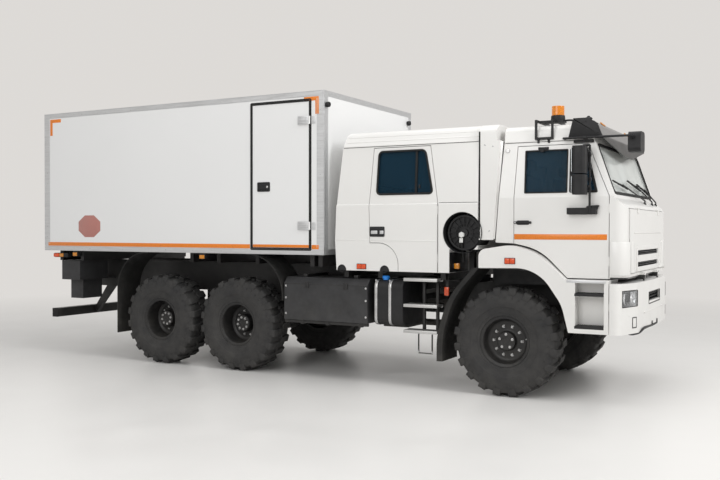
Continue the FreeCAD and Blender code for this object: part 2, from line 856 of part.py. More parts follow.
# Leaf springs with their brackets, the bogie's trunnion and its torque rods.
def suspension():
    pack = prism("FrontPack", "XZ", ("front_spring_inner", "front_spring_outer"), [
        ("-front_spring_reach", "front_spring_eye"),
        ("-front_pack_half", "front_pack_top", "front_spring_reach"),
        ("front_pack_half", "front_pack_top", "front_spring_reach"),
        ("front_spring_reach", "front_spring_eye"),
        ("front_spring_reach", "front_spring_eye - leaf_end_thick"),
        ("front_pack_half", "spring_seat"),
        ("-front_pack_half", "spring_seat"),
        ("-front_spring_reach", "front_spring_eye - leaf_end_thick")])
    hangers = []
    for number, place in enumerate(("-front_spring_reach", "front_spring_reach")):
        hangers.append(block(f"FrontHanger{number}", (f"{place} - horn_half", f"{place} + horn_half"),
                             ("front_spring_inner", "rail_outer"),
                             ("front_spring_eye - leaf_end_thick * 2", "rail_top - rail_deep")))
    front = fuse("FrontSpring", pack, *hangers)
    middle = "-wheelbase - bogie_gap / 2"
    rear_pack = pad("RearPack", "XZ", ("rear_spring_inner", "rear_spring_outer"), [
        (f"{middle} - rear_spring_reach", "rear_spring_seat"),
        (f"{middle} - rear_pack_half", "rear_pack_low"),
        (f"{middle} + rear_pack_half", "rear_pack_low"),
        (f"{middle} + rear_spring_reach", "rear_spring_seat"),
        (f"{middle} + rear_spring_reach", "rear_spring_seat + leaf_end_thick"),
        (f"{middle} + rear_pack_half", "rear_pack_top"),
        (f"{middle} - rear_pack_half", "rear_pack_top"),
        (f"{middle} - rear_spring_reach", "rear_spring_seat + leaf_end_thick")])
    hub = rod("TrunnionHub", "y", ("rear_spring_inner", "rear_spring_outer"), (middle, "trunnion_height"),
              "trunnion_hub_radius")
    cheek = block("TrunnionCheek", (f"{middle} - spring_pad_half", f"{middle} + spring_pad_half"),
                  ("torque_lug_inner", "rail_outer"),
                  ("torque_rod_height - torque_lug_half", "rail_top - rail_deep"))
    bogie = [rear_pack, hub, cheek]
    for number, (back, ahead) in enumerate((
            (middle, "-wheelbase - torque_lug_reach"),
            ("torque_lug_reach - wheelbase - bogie_gap", middle))):
        bogie.append(rod(f"TorqueRod{number}", "x", (back, ahead),
                         ("(torque_lug_inner + torque_lug_outer) / 2", "torque_rod_height"),
                         "torque_rod_radius"))
    trunnion = rod("Trunnion", "y", ("-rear_spring_inner", "rear_spring_inner"),
                   (middle, "trunnion_height"), "trunnion_radius")
    rear = fuse("RearSuspension", both("Bogie", fuse("BogieSide", *bogie)), trunnion)
    publish("suspension", both("FrontSprings", front), rear)


# Wheels: a tyre out to its lugs' tips and a dished rim on each hub.
def flat_ring_solid(name, rings):
    """A flat-sided solid across Y from (place, radius) rings, a side for each lug."""
    count = int(at("tyre_lugs"))
    rows = []
    for place, radius in rings:
        far, along = at(radius), at(place)
        turns = [2 * math.pi * number / count for number in range(count)]
        rows.append([FreeCAD.Vector(far * math.cos(turn), along, far * math.sin(turn)) for turn in turns])
    faces = [Part.Face(Part.makePolygon(row + row[:1])) for row in (rows[0], rows[-1])]
    for row, after in zip(rows, rows[1:]):
        for number in range(count):
            other = (number + 1) % count
            corners = [row[number], row[other], after[other], after[number], row[number]]
            faces.append(Part.Face(Part.makePolygon(corners)))
    feature = doc.addObject("Part::Feature", name)
    feature.Shape = Part.Solid(Part.Shell(faces))
    if feature.Shape.Volume < 0:
        feature.Shape = feature.Shape.reversed()
    return feature


def lug_crown(name, span, turn):
    """Half of the tyre's crown: lugs with open gaps between them."""
    corners = (("-lug_root_degrees", "lug_root_radius"), ("-lug_tip_degrees", "tyre_radius"),
               ("lug_tip_degrees", "tyre_radius"), ("lug_root_degrees", "lug_root_radius"))
    points = []
    for number in range(int(at("tyre_lugs"))):
        for step, radius in corners:
            angle = f"((360 * {number + turn} / tyre_lugs + {step}) * 1 deg)"
            far = f"{radius} / cos(lug_tip_degrees * 1 deg)"
            points.append((f"{far} * cos{angle}", f"{far} * sin{angle}"))
    return prism(name, "XZ", span, points)


def tyre_body():
    """One tyre about the origin: carcass, two offset crowns of lugs, bore."""
    flat = "/ cos(180 deg / tyre_lugs)"
    rings = (("-tyre_bead_half", f"rim_flange_radius {flat}"), ("-tyre_bulge_half", "tyre_bulge_radius"),
             ("-lug_half", "tyre_shoulder_radius"), ("lug_half", "tyre_shoulder_radius"),
             ("tyre_bulge_half", "tyre_bulge_radius"), ("tyre_bead_half", f"rim_flange_radius {flat}"))
    carcass = flat_ring_solid("TyreCarcass", rings)
    bore = flat_ring_solid("TyreBore", [(place, f"tyre_bead_radius {flat}")
                                        for place in ("-tyre_bulge_half", "tyre_bulge_half")])
    core = flat_ring_solid("LugCore", [(place, "tyre_shoulder_radius - lug_sunk")
                                       for place in ("-tyre_bulge_half", "tyre_bulge_half")])
    lugs = cut("TyreLugs", fuse("LugCrown", lug_crown("LugsIn", ("-lug_half", "0"), 0.5),
                                lug_crown("LugsOut", ("0", "lug_half"), 0)), core)
    return cut("TyreWhole", fuse("TyreSolid", carcass, lugs), bore)


def wheels():
    whole_tyre = tyre_body()
    spots = (("front", "0"), ("middle", "-wheelbase"), ("rear", "-wheelbase - bogie_gap"))
    for row, place in spots:
        first = "front" if row == "front" else "rear"
        disc, hub_radius, hub_face = f"{first}_disc_place", f"{first}_hub_radius", f"{first}_hub_face"
        for side, sign in (("left", ""), ("right", "-")):
            def along(text):
                return f"{sign}({text})"
            centre = (place, along("track_half"), "tyre_radius")
            tyre = moved(f"Tyre{row}{side}", whole_tyre, *centre)
            publish(f"tyre_{row}_{side}", tyre)
            flange = "tyre_bead_half + rim_flange_thick"
            bore_end = f"{hub_face} - hub_cap_thick"
            bore = "spindle_radius + pin_gap"
            rim = turned(f"Rim{row}{side}", [(along(a), b) for a, b in (
                (f"-({flange})", "rim_bore_radius"),
                (f"-({flange})", "rim_flange_radius"),
                ("-tyre_bead_half", "rim_flange_radius"),
                ("-tyre_bead_half", "tyre_bead_radius"),
                ("tyre_bead_half", "tyre_bead_radius"),
                ("tyre_bead_half", "rim_flange_radius"),
                (flange, "rim_flange_radius"),
                (flange, "rim_bore_radius"),
                (f"{disc} + disc_thick", "rim_bore_radius"),
                (f"{disc} + disc_thick", hub_radius),
                (hub_face, hub_radius),
                (hub_face, "0"),
                (bore_end, "0"),
                (bore_end, bore),
                (disc, bore),
                (disc, "rim_bore_radius"))], centre)
            publish(f"rim_{row}_{side}", rim)


def door_pins(name, front, side):
    """Two slim hinge pins in the gap ahead of a door, each on a leaf of its edge."""
    pieces = []
    sign = "-" if side == "right" else ""
    half = "crew_half" if name == "CrewDoor" else "cab_half"
    for number, low in enumerate(("door_pin_lower", "door_pin_upper")):
        tall = (low, f"{low} + hinge_tall")
        place = f"{front} - panel_gap / 2"
        pieces.append(rod(f"{name}Pin{number}", "z", tall, (place, f"{sign}{half}"), "door_pin_radius"))
        span = [f"{half} - door_pin_radius", half]
        if sign:
            span = [f"-({far})" for far in reversed(span)]
        pieces.append(block(f"{name}Leaf{number}", (f"{front} - 2 * panel_gap", place), span, tall))
    return pieces


# Van body: panels between aluminium edge profiles, a side door and two rear doors.
def van_body():
    inner = "van_half - van_wall"
    back_in, front_in = "van_back + van_wall", "van_front - van_wall"
    low_in, top_in = "van_low + profile_low", "van_top - profile_top"
    outer = block("VanOuter", ("van_back", "van_front"), ("-van_half", "van_half"), ("van_low", "van_top"))
    holes = [
        block("VanAlong", ("van_back + post_back", "van_front - post_front"),
              ("-van_half - cut_over", "van_half + cut_over"), (low_in, top_in)),
        block("VanAcross", ("van_back - cut_over", "van_front + cut_over"),
              ("post_front - van_half", "van_half - post_front"), (low_in, top_in)),
        block("VanUp", (back_in, front_in), ("van_wall - van_half", inner),
              ("van_low - cut_over", "van_top + cut_over")),
    ]
    publish("van_profiles", cut("VanProfiles", outer, *holes))
    publish("van_floor", block("VanFloor", (back_in, front_in), ("van_wall - van_half", inner),
                               ("van_low", "van_low + van_floor_thick")))
    publish("van_roof", block("VanRoof", (back_in, front_in), ("van_wall - van_half", inner),
                              ("van_top - van_wall", "van_top")))
    left = block("VanLeft", ("van_back + post_back", "van_front - post_front"), (inner, "van_half"),
                 (low_in, top_in))
    right = block("VanRight", ("van_back + post_back", "van_front - post_front"),
                  ("-van_half", "van_wall - van_half"), (low_in, top_in))
    door_hole = block("SideDoorHole", ("side_door_back - panel_gap", "side_door_front + panel_gap"),
                      ("-van_half - cut_over", "cut_over + van_wall - van_half"),
                      ("side_door_low - panel_gap", "side_door_top + panel_gap"))
    front = block("VanFront", (front_in, "van_front"),
                  ("post_front - van_half", "van_half - post_front"), (low_in, top_in))
    publish("van_walls", left, cut("VanRightCut", right, door_hole), front)
    leaf = block("SideLeaf", ("side_door_back", "side_door_front"), ("-van_half", "van_wall - van_half"),
                 ("side_door_low", "side_door_top"))
    pieces = [leaf]
    for number, height in enumerate(("hinge_lower", "hinge_upper")):
        span_z = (height, f"{height} + hinge_tall")
        pieces.append(rod(f"SideHinge{number}", "z", span_z,
                          ("side_door_front + panel_gap / 2", "-van_half - hinge_out"), "hinge_radius"))
        pieces.append(block(f"SideStrap{number}", ("side_door_front - hinge_strap", "side_door_front"),
                            ("-van_half - hinge_out", "-van_half"), span_z))
    publish("van_side_door", fuse("SideDoor", *pieces))
    for side, sign in (("left", ""), ("right", "-")):
        def span(low, high):
            return (low, high) if not sign else (f"-({high})", f"-({low})")
        edge = "van_half - post_front - panel_gap"
        leaf = block(f"RearLeaf{side}", ("van_back", back_in), span("panel_gap / 2", edge),
                     (low_in + " + panel_gap", top_in + " - panel_gap"))
        rod_place = "van_half - post_front - lock_rod_inset"
        bar = rod(f"LockRod{side}", "z", (low_in + " + panel_gap", top_in + " - panel_gap"),
                  ("van_back - lock_rod_out", f"{sign}({rod_place})"), "lock_rod_radius")
        pieces = [leaf, bar]
        for number, height in enumerate(("hinge_lower", "(hinge_lower + hinge_upper) / 2", "hinge_upper")):
            pieces.append(block(f"RodGuide{side}{number}",
                                ("van_back - lock_rod_out - lock_rod_radius / 2", "van_back"),
                                span(f"{rod_place} - lock_rod_radius", f"{rod_place} + lock_rod_radius"),
                                (height, f"{height} + hinge_tall / 2")))
            pieces.append(rod(f"RearHinge{side}{number}", "z", (height, f"{height} + hinge_tall"),
                              ("van_back - hinge_out", f"{sign}({edge} + panel_gap / 2)"),
                              "hinge_radius"))
            pieces.append(block(f"RearStrap{side}{number}", ("van_back - hinge_out", "van_back"),
                                span(f"{edge} - lock_rod_inset / 2", edge),
                                (height, f"{height} + hinge_tall")))
        publish(f"van_rear_door_{side}", fuse(f"RearDoor{side}", *pieces))


# Crew module: a moulded shell behind the cab with one door on the right.
def crew_module():
    side_outline = [
        ("crew_back_low", "crew_low"),
        ("crew_back_belt", "crew_belt"),
        ("crew_back_waist", "crew_waist"),
        ("crew_back_top", "crew_gutter"),
        ("crew_roof_back", "crew_gutter + crew_crown", "crew_corner"),
        ("crew_front", "crew_gutter + crew_crown"),
        ("crew_front", "crew_nose_low"),
        ("crew_front_low", "crew_nose_low"),
        ("crew_front_low", "crew_low")]
    front_outline = [
        ("-crew_half", "crew_low"),
        ("-crew_half", "crew_waist - crew_step"),
        ("crew_step - crew_half", "crew_waist"),
        ("-crew_top_half", "crew_gutter"),
        ("-crew_roof_edge_half", "crew_gutter + crew_roof_rise", "crew_corner"),
        ("0", "crew_gutter + crew_crown + crew_step"),
        ("crew_roof_edge_half", "crew_gutter + crew_roof_rise", "crew_corner"),
        ("crew_top_half", "crew_gutter"),
        ("crew_half - crew_step", "crew_waist"),
        ("crew_half", "crew_waist - crew_step"),
        ("crew_half", "crew_low")]
    wide = ("-crew_half - cut_over", "crew_half + cut_over")
    long = ("crew_back_belt - cut_over", "crew_front + cut_over")

    def body(name, inset):
        return common(name, prism(name + "Side", "XZ", wide, side_outline, inset),
                      prism(name + "Front", "YZ", long, front_outline, inset))

    bay = rod("FilterBay", "y", ("-crew_half - cut_over", "-filter_inner"),
              ("filter_place", "filter_height"), "filter_cut_radius")
    bay_wall = rod("FilterBayWall", "y", ("-crew_half - cut_over", "crew_wall - filter_inner"),
                   ("filter_place", "filter_height"), "filter_cut_radius + crew_wall")
    outer = cut("CrewSolid", body("CrewOuter", None), bay)
    inner = cut("CrewVoid", body("CrewInner", "crew_wall"), bay_wall)
    shell = cut("CrewShell", outer, inner)
    roof_zone = block("CrewRoofZone", long, wide, ("crew_gutter", "crew_gutter + crew_crown + cut_over"))
    floor_zone = block("CrewFloorZone", ("crew_back_belt + crew_wall", "crew_front_low - crew_wall"),
                       ("crew_wall - crew_half", "crew_half - crew_wall"),
                       ("crew_low - cut_over", "crew_low + crew_wall"))
    publish("crew_roof", common("CrewRoof", shell, roof_zone))
    publish("crew_floor", common("CrewFloor", shell, floor_zone))
    walls = cut("CrewWallRing", shell, roof_zone, floor_zone)
    door_outline = [
        ("crew_door_front", "crew_low - cut_over"),
        ("crew_door_front", "crew_waist"),
        ("crew_door_front_top", "crew_gutter - crew_door_drop"),
        ("crew_door_back_top", "crew_gutter - crew_door_drop"),
        ("crew_door_back", "crew_waist"),
        ("crew_door_belt_back", "crew_door_belt"),
        ("crew_door_foot_back", "crew_door_belt", "crew_door_arc"),
        ("crew_door_foot_back", "crew_low - cut_over")]
    right_side = ("-crew_half - cut_over", "cut_over - crew_top_half + crew_wall")
    door_hole = prism("CrewDoorHole", "XZ", right_side, door_outline)
    door_zone = prism("CrewDoorZone", "XZ", right_side, door_outline, "panel_gap")
    glass_outline = [
        ("crew_glass_back", "crew_glass_low", "glass_corner"),
        ("crew_glass_front", "crew_glass_low", "glass_corner"),
        ("crew_glass_front_top", "crew_gutter - crew_glass_drop", "glass_corner"),
        ("crew_glass_back_top", "crew_gutter - crew_glass_drop", "glass_corner")]
    window = prism("CrewWindow", "XZ", right_side, glass_outline)
    other_window = mirrored("CrewOtherWindow", window)
    publish("crew_walls", cut("CrewWalls", walls, door_hole, other_window))
    leaf = cut("CrewDoorLeaf", common("CrewDoorSkin", walls, door_zone), window)
    publish("crew_door", fuse("CrewDoorHung", leaf, *door_pins("CrewDoor", "crew_door_front", "right")))
    sheet_out = body("CrewGlassOut", "glass_depth")
    sheet_in = body("CrewGlassIn", "glass_depth + glass_thick")
    pane = cut("CrewPane", sheet_out, sheet_in)
    publish("crew_door_glass", common("CrewDoorPane", pane, window))
    publish("crew_window", common("CrewSidePane", pane, other_window))
    fairing = pad("Fairing", "XZ", ("fairing_half - fairing_thick", "fairing_half"), [
        ("fairing_back", "fairing_low"), ("fairing_front_low", "fairing_low"),
        ("fairing_front_top", "crew_gutter"), ("fairing_back", "crew_gutter")])
    stay = block("FairingStay", ("crew_front", "fairing_front_low - fairing_thick"),
                 ("crew_wall - fairing_half", "fairing_half - crew_wall"),
                 ("crew_waist", "crew_waist + fairing_thick"))
    link = block("FairingLink", ("fairing_back", "fairing_back + fairing_thick"),
                 ("fairing_half - crew_wall - cut_over", "fairing_half - fairing_thick / 2"),
                 ("crew_waist", "crew_waist + fairing_thick"))
    sides = both("Fairings", fuse("FairingSide", fairing, link))
    hood = prism("FairingHood", "YZ", ("fairing_back", "fairing_front_top - fairing_thick"), [
        ("-fairing_half", "crew_gutter"),
        ("-fairing_half", "crew_gutter + fairing_rise", "fairing_thick"),
        ("-crew_roof_edge_half", "crew_gutter + crew_roof_rise", "fairing_thick"),
        ("crew_roof_edge_half", "crew_gutter + crew_roof_rise", "fairing_thick"),
        ("fairing_half", "crew_gutter + fairing_rise", "fairing_thick"),
        ("fairing_half", "crew_gutter")])
    publish("crew_fairing", fuse("CrewFairing", sides, stay, hood))


def crew_seats():
    base = block("BenchBase", ("bench_back", "bench_front"), ("-bench_half", "bench_half"),
                 ("crew_low + crew_wall", "bench_low"))
    cushion = block("BenchCushion", ("bench_back", "bench_front"), ("-bench_half", "bench_half"),
                    ("bench_low", "bench_cushion"))
    back = block("BenchBack", ("bench_back", "bench_back + seat_back_thick"),
                 ("-bench_half", "bench_half"), ("bench_cushion", "bench_top"))
    publish("crew_seats", fuse("CrewBench", base, cushion, back))


# Cab: a pressed shell on its floor, tilting forward about pins above the bumper.
def cab():
    side_outline = [
        ("cab_back_low", "cab_sill_back"),
        ("cab_back_top", "cab_gutter"),
        ("cab_back_top", "cab_top", "crew_corner / 2"),
        ("cab_roof_front", "cab_top", "crew_corner"),
        ("screen_top", "cab_gutter"),
        ("screen_low", "screen_low_height"),
        ("cab_front", "cab_brow_height", "crew_corner"),
        ("cab_front", "cab_sill"),
        ("arch_front", "cab_sill"),
        ("arch_mid", "arch_mid_height", "arch_knee_round"),
        ("arch_back", "arch_back_height")]
    front_outline = [
        ("-cab_half", "cab_sill"),
        ("-cab_half", "cab_belt"),
        ("-cab_top_half", "cab_gutter"),
        ("-cab_roof_edge_half", "cab_roof_edge", "crew_corner"),
        ("0", "cab_top + crew_step"),
        ("cab_roof_edge_half", "cab_roof_edge", "crew_corner"),
        ("cab_top_half", "cab_gutter"),
        ("cab_half", "cab_belt"),
        ("cab_half", "cab_sill")]
    plan_outline = [
        ("cab_back_low - cut_over", "-cab_half"),
        ("cab_front", "-cab_half", "cab_corner"),
        ("cab_front", "cab_half", "cab_corner"),
        ("cab_back_low - cut_over", "cab_half")]
    wide = ("-cab_half - cut_over", "cab_half + cut_over")
    long = ("cab_back_low - cut_over", "cab_front + cut_over")
    tall = ("cab_sill - cut_over", "cab_top + cut_over")

    def body(name, inset):
        return common(name, prism(name + "Side", "XZ", wide, side_outline, inset),
                      prism(name + "Front", "YZ", long, front_outline, inset),
                      prism(name + "Plan", "XY", tall, plan_outline, inset))

    tunnel = block("Tunnel", ("cab_back_low - cut_over", "radiator_front + cut_over"),
                   ("-tunnel_half", "tunnel_half"), ("cab_sill - cut_over", "tunnel_top"))
    cover = block("TunnelCover", ("cab_back_low - cut_over", "radiator_front + cut_over + cab_wall"),
                  ("-tunnel_half - cab_wall", "tunnel_half + cab_wall"),
                  ("cab_sill - cut_over", "tunnel_top + cab_wall"))
    outer = cut("CabSolid", body("CabOuter", None), tunnel)
    void = cut("CabVoid", body("CabInner", "cab_wall"), cover)
    shell = cut("CabShell", outer, void)
    drop = moved("CabVoidLow", void, z="-2 * cab_wall")
    core = block("CabCore", ("cab_back_low + cut_over + cab_wall", "cab_front - 2 * cab_wall"),
                 ("-tunnel_half - 2 * cab_wall", "tunnel_half + 2 * cab_wall"),
                 ("cab_sill - cut_over", "tunnel_top + 2 * cab_wall"))
    floor_zone = fuse("CabFloorZone", drop, core)
    publish("cab_floor", common("CabFloor", shell, floor_zone))
    above = cut("CabAbove", shell, floor_zone)
    roof_zone = block("CabRoofZone", long, wide, ("cab_gutter", "cab_top + cut_over"))
    publish("cab_roof", common("CabRoof", above, roof_zone))
    nose_zone = block("CabNoseZone", ("panel_split", "cab_front + cut_over"), wide,
                      ("cab_sill - cut_over", "screen_low_height"))
    sides = cut("CabSides", above, roof_zone, nose_zone)
    door_outline = [
        ("door_back", "cab_sill - cut_over"),
        ("door_back", "door_belt"),
        ("door_back_top", "door_top"),
        ("door_front_top", "door_top"),
        ("door_front", "door_belt"),
        ("door_front", "cab_sill - cut_over")]
    left_side = ("cab_top_half - cab_wall - cut_over", "cab_half + cut_over")
    hole = prism("DoorHole", "XZ", left_side, door_outline)
    zone = prism("DoorZone", "XZ", left_side, door_outline, "panel_gap")
    main = prism("DoorGlassMain", "XZ", left_side, [
        ("door_glass_back", "door_glass_low", "crew_step"),
        ("door_glass_front", "door_glass_low", "crew_step"),
        ("door_glass_front", "door_glass_top", "crew_step"),
        ("door_glass_back", "door_glass_top", "crew_step")])
    quarter = prism("DoorGlassQuarter", "XZ", left_side, [
        ("quarter_back", "door_glass_low", "crew_step"),
        ("quarter_low", "door_glass_low", "crew_step"),
        ("quarter_high", "door_glass_top", "crew_step"),
        ("quarter_back", "door_glass_top", "crew_step")])
    windows = fuse("DoorWindows", main, quarter)
    leaf = cut("DoorLeaf", common("DoorSkin", sides, zone), windows)
    fore_zone = block("DoorForeZone", ("arch_mid", "cab_front"), left_side, tall)
    fore = fuse("DoorFore", common("DoorForeLeaf", leaf, fore_zone), *door_pins("CabDoor", "door_front", "left"))
    aft = cut("DoorAft", leaf, fore_zone)
    screen = pad("ScreenHole", "YZ", ("screen_top - 2 * cut_over", "screen_low + cut_over"), [
        ("-screen_half", "screen_low_height + screen_edge"),
        ("screen_half", "screen_low_height + screen_edge"),
        ("screen_half", "cab_gutter - screen_edge"),
        ("-screen_half", "cab_gutter - screen_edge")])
    back_hole = block("BackHole", ("cab_back_low - cut_over", "cab_back_top + 2 * cut_over"),
                      ("-back_glass_half", "back_glass_half"), ("back_glass_low", "back_glass_top"))
    pane = cut("CabPane", body("CabPaneOut", "glass_depth"),
               body("CabPaneIn", "glass_depth + glass_thick"))
    publish("cab_windscreen", common("CabGlass", pane, fuse("CabHoles", screen, back_hole)))
    publish("cab_shell", cut("CabFrame", sides, hole, mirrored("DoorHoleRight", hole), screen, back_hole))
    glass = common("DoorPane", pane, windows)
    publish("cab_door_left", fore, aft)
    publish("cab_door_right", mirrored("DoorForeRight", fore), mirrored("DoorAftRight", aft))
    publish("cab_glass_left", glass)
    publish("cab_glass_right", mirrored("CabGlassRight", glass))
    nose = common("CabNose", above, nose_zone)
    hatch_hole = block("HatchHole", ("cab_front - cab_wall - cut_over", "cab_front + cut_over"),
                       ("-hatch_half", "hatch_half"), ("hatch_low", "hatch_top"))
    lug_low = "tilt_height - tilt_pin_radius"
    lugs = block("CabLug", ("cab_front - cab_wall", "tilt_place + tilt_pin_radius"),
                 ("tilt_lug_place - tilt_lug_half", "tilt_lug_place + tilt_lug_half"),
                 (lug_low, "hatch_low - panel_gap"))
    pins = rod("LugBore", "y", ("tilt_lug_place - tilt_lug_half - cut_over",
                                "tilt_lug_place + tilt_lug_half + cut_over"),
               ("tilt_place", "tilt_height"), "tilt_pin_radius / 2 + pin_gap")
    ears = []
    for number, place in enumerate(("grille_half + hinge_tall / 2 + fork_gap",
                                    "grille_half - hinge_tall / 2 - fork_gap - tilt_lug_thick")):
        ears.append(block(f"HatchEar{number}", ("cab_front - hatch_thick", "hatch_axis + hatch_hinge_radius"),
                          (place, f"{place} + tilt_lug_thick"),
                          ("hatch_axis_height - hatch_hinge_radius", "hatch_axis_height + hatch_hinge_radius")))
    ears.append(rod("HatchPin", "y", ("grille_half - hinge_tall / 2 - tilt_lug_thick",
                                      "grille_half + hinge_tall / 2 + tilt_lug_thick"),
                    ("hatch_axis", "hatch_axis_height"), "hatch_pin_radius"))
    frame = cut("CabPanelCut", fuse("CabPanelBody", nose, both("CabLugs", lugs)), hatch_hole,
                both("LugBores", pins))
    publish("cab_front_panel", fuse("CabPanel", frame, both("HatchEars", fuse("HatchEarSet", *ears))))
    lid = block("HatchLid", ("cab_front - hatch_thick", "cab_front + crew_step"),
                ("panel_gap - hatch_half", "hatch_half - panel_gap"),
                ("hatch_low + panel_gap", "hatch_top - panel_gap"))
    slots = []
    for number, (low, high) in enumerate((("grille_low", "grille_split_low"),
                                          ("grille_split_top", "grille_top"))):
        slots.append(block(f"GrilleSlot{number}", ("cab_front - cut_over", "cab_front + cut_over"),
                           ("-grille_half", "grille_half"), (low, high)))
    barrels = []
    for number, place in enumerate(("-grille_half", "grille_half")):
        ends = (f"{place} - hinge_tall / 2", f"{place} + hinge_tall / 2")
        barrels.append(rod(f"HatchBarrel{number}", "y", ends, ("hatch_axis", "hatch_axis_height"),
                           "hatch_hinge_radius"))
        barrels.append(block(f"HatchStrap{number}", ("cab_front", "hatch_axis"), ends,
                             ("hatch_top - cab_wall", "hatch_axis_height")))
    bore = rod("HatchBore", "y", ("-hatch_half", "hatch_half"), ("hatch_axis", "hatch_axis_height"),
               "hatch_pin_radius + pin_gap")
    publish("front_hatch", cut("Hatch", fuse("HatchBody", lid, *barrels), bore, *slots))
    return void


def cab_inside(void):
    half = "cab_half - cab_wall - panel_gap"
    body = pad("DashBody", "XZ", (f"-({half})", half), [
        ("dash_back", "dash_low"), ("dash_front", "dash_low"), ("dash_front", "screen_low_height - cab_wall"),
        ("dash_back", "screen_low_height - cab_wall")])
    foot = block("DashFoot", ("dash_front - cab_wall", "dash_front"), (f"-({half})", half),
                 ("tunnel_top + cab_wall", "dash_low"))
    column = rod("WheelColumn", "x", ("wheel_ring_place", "dash_back"),
                 ("wheel_hub_place", "dash_low + cab_wall"), "wheel_ring_thick * 2")
    ring = doc.addObject("Part::Torus", "WheelRing")
    ring.setExpression("Radius1", bound("wheel_ring_radius"))
    ring.setExpression("Radius2", bound("wheel_ring_thick"))
    ring.Placement.Rotation = FreeCAD.Rotation(FreeCAD.Vector(0, 1, 0), -30)
    ring.setExpression("Placement.Base.x", bound("wheel_ring_place"))
    ring.setExpression("Placement.Base.y", bound("wheel_hub_place"))
    ring.setExpression("Placement.Base.z", bound("wheel_ring_height"))
    spoke = block("WheelSpoke", ("wheel_ring_place - wheel_ring_thick", "wheel_ring_place + wheel_ring_thick"),
                  ("wheel_hub_place - wheel_ring_radius", "wheel_hub_place + wheel_ring_radius"),
                  ("wheel_ring_height - wheel_ring_thick", "wheel_ring_height + wheel_ring_thick"))
    neck = block("WheelNeck", ("wheel_ring_place - wheel_ring_thick", "wheel_ring_place + wheel_ring_thick"),
                 ("wheel_hub_place - wheel_ring_thick", "wheel_hub_place + wheel_ring_thick"),
                 ("dash_low + cab_wall", "wheel_ring_height"))
    publish("dashboard", fuse("Dashboard", body, foot, column, ring, spoke, neck))
    plinth = block("SeatPlinth", ("seat_back + cut_over", "seat_front - cut_over"),
                   ("seat_inner + cut_over", "seat_outer - cut_over"), ("cab_sill", "seat_low"))
    base = common("SeatBase", plinth, void)
    cushion = block("SeatCushion", ("seat_back", "seat_front"), ("seat_inner", "seat_outer"),
                    ("seat_low", "seat_cushion"))
    back = block("SeatBack", ("seat_back", "seat_back + seat_back_thick"), ("seat_inner", "seat_outer"),
                 ("seat_cushion", "seat_top"))
    publish("cab_seats", both("Seats", fuse("Seat", base, cushion, back)))


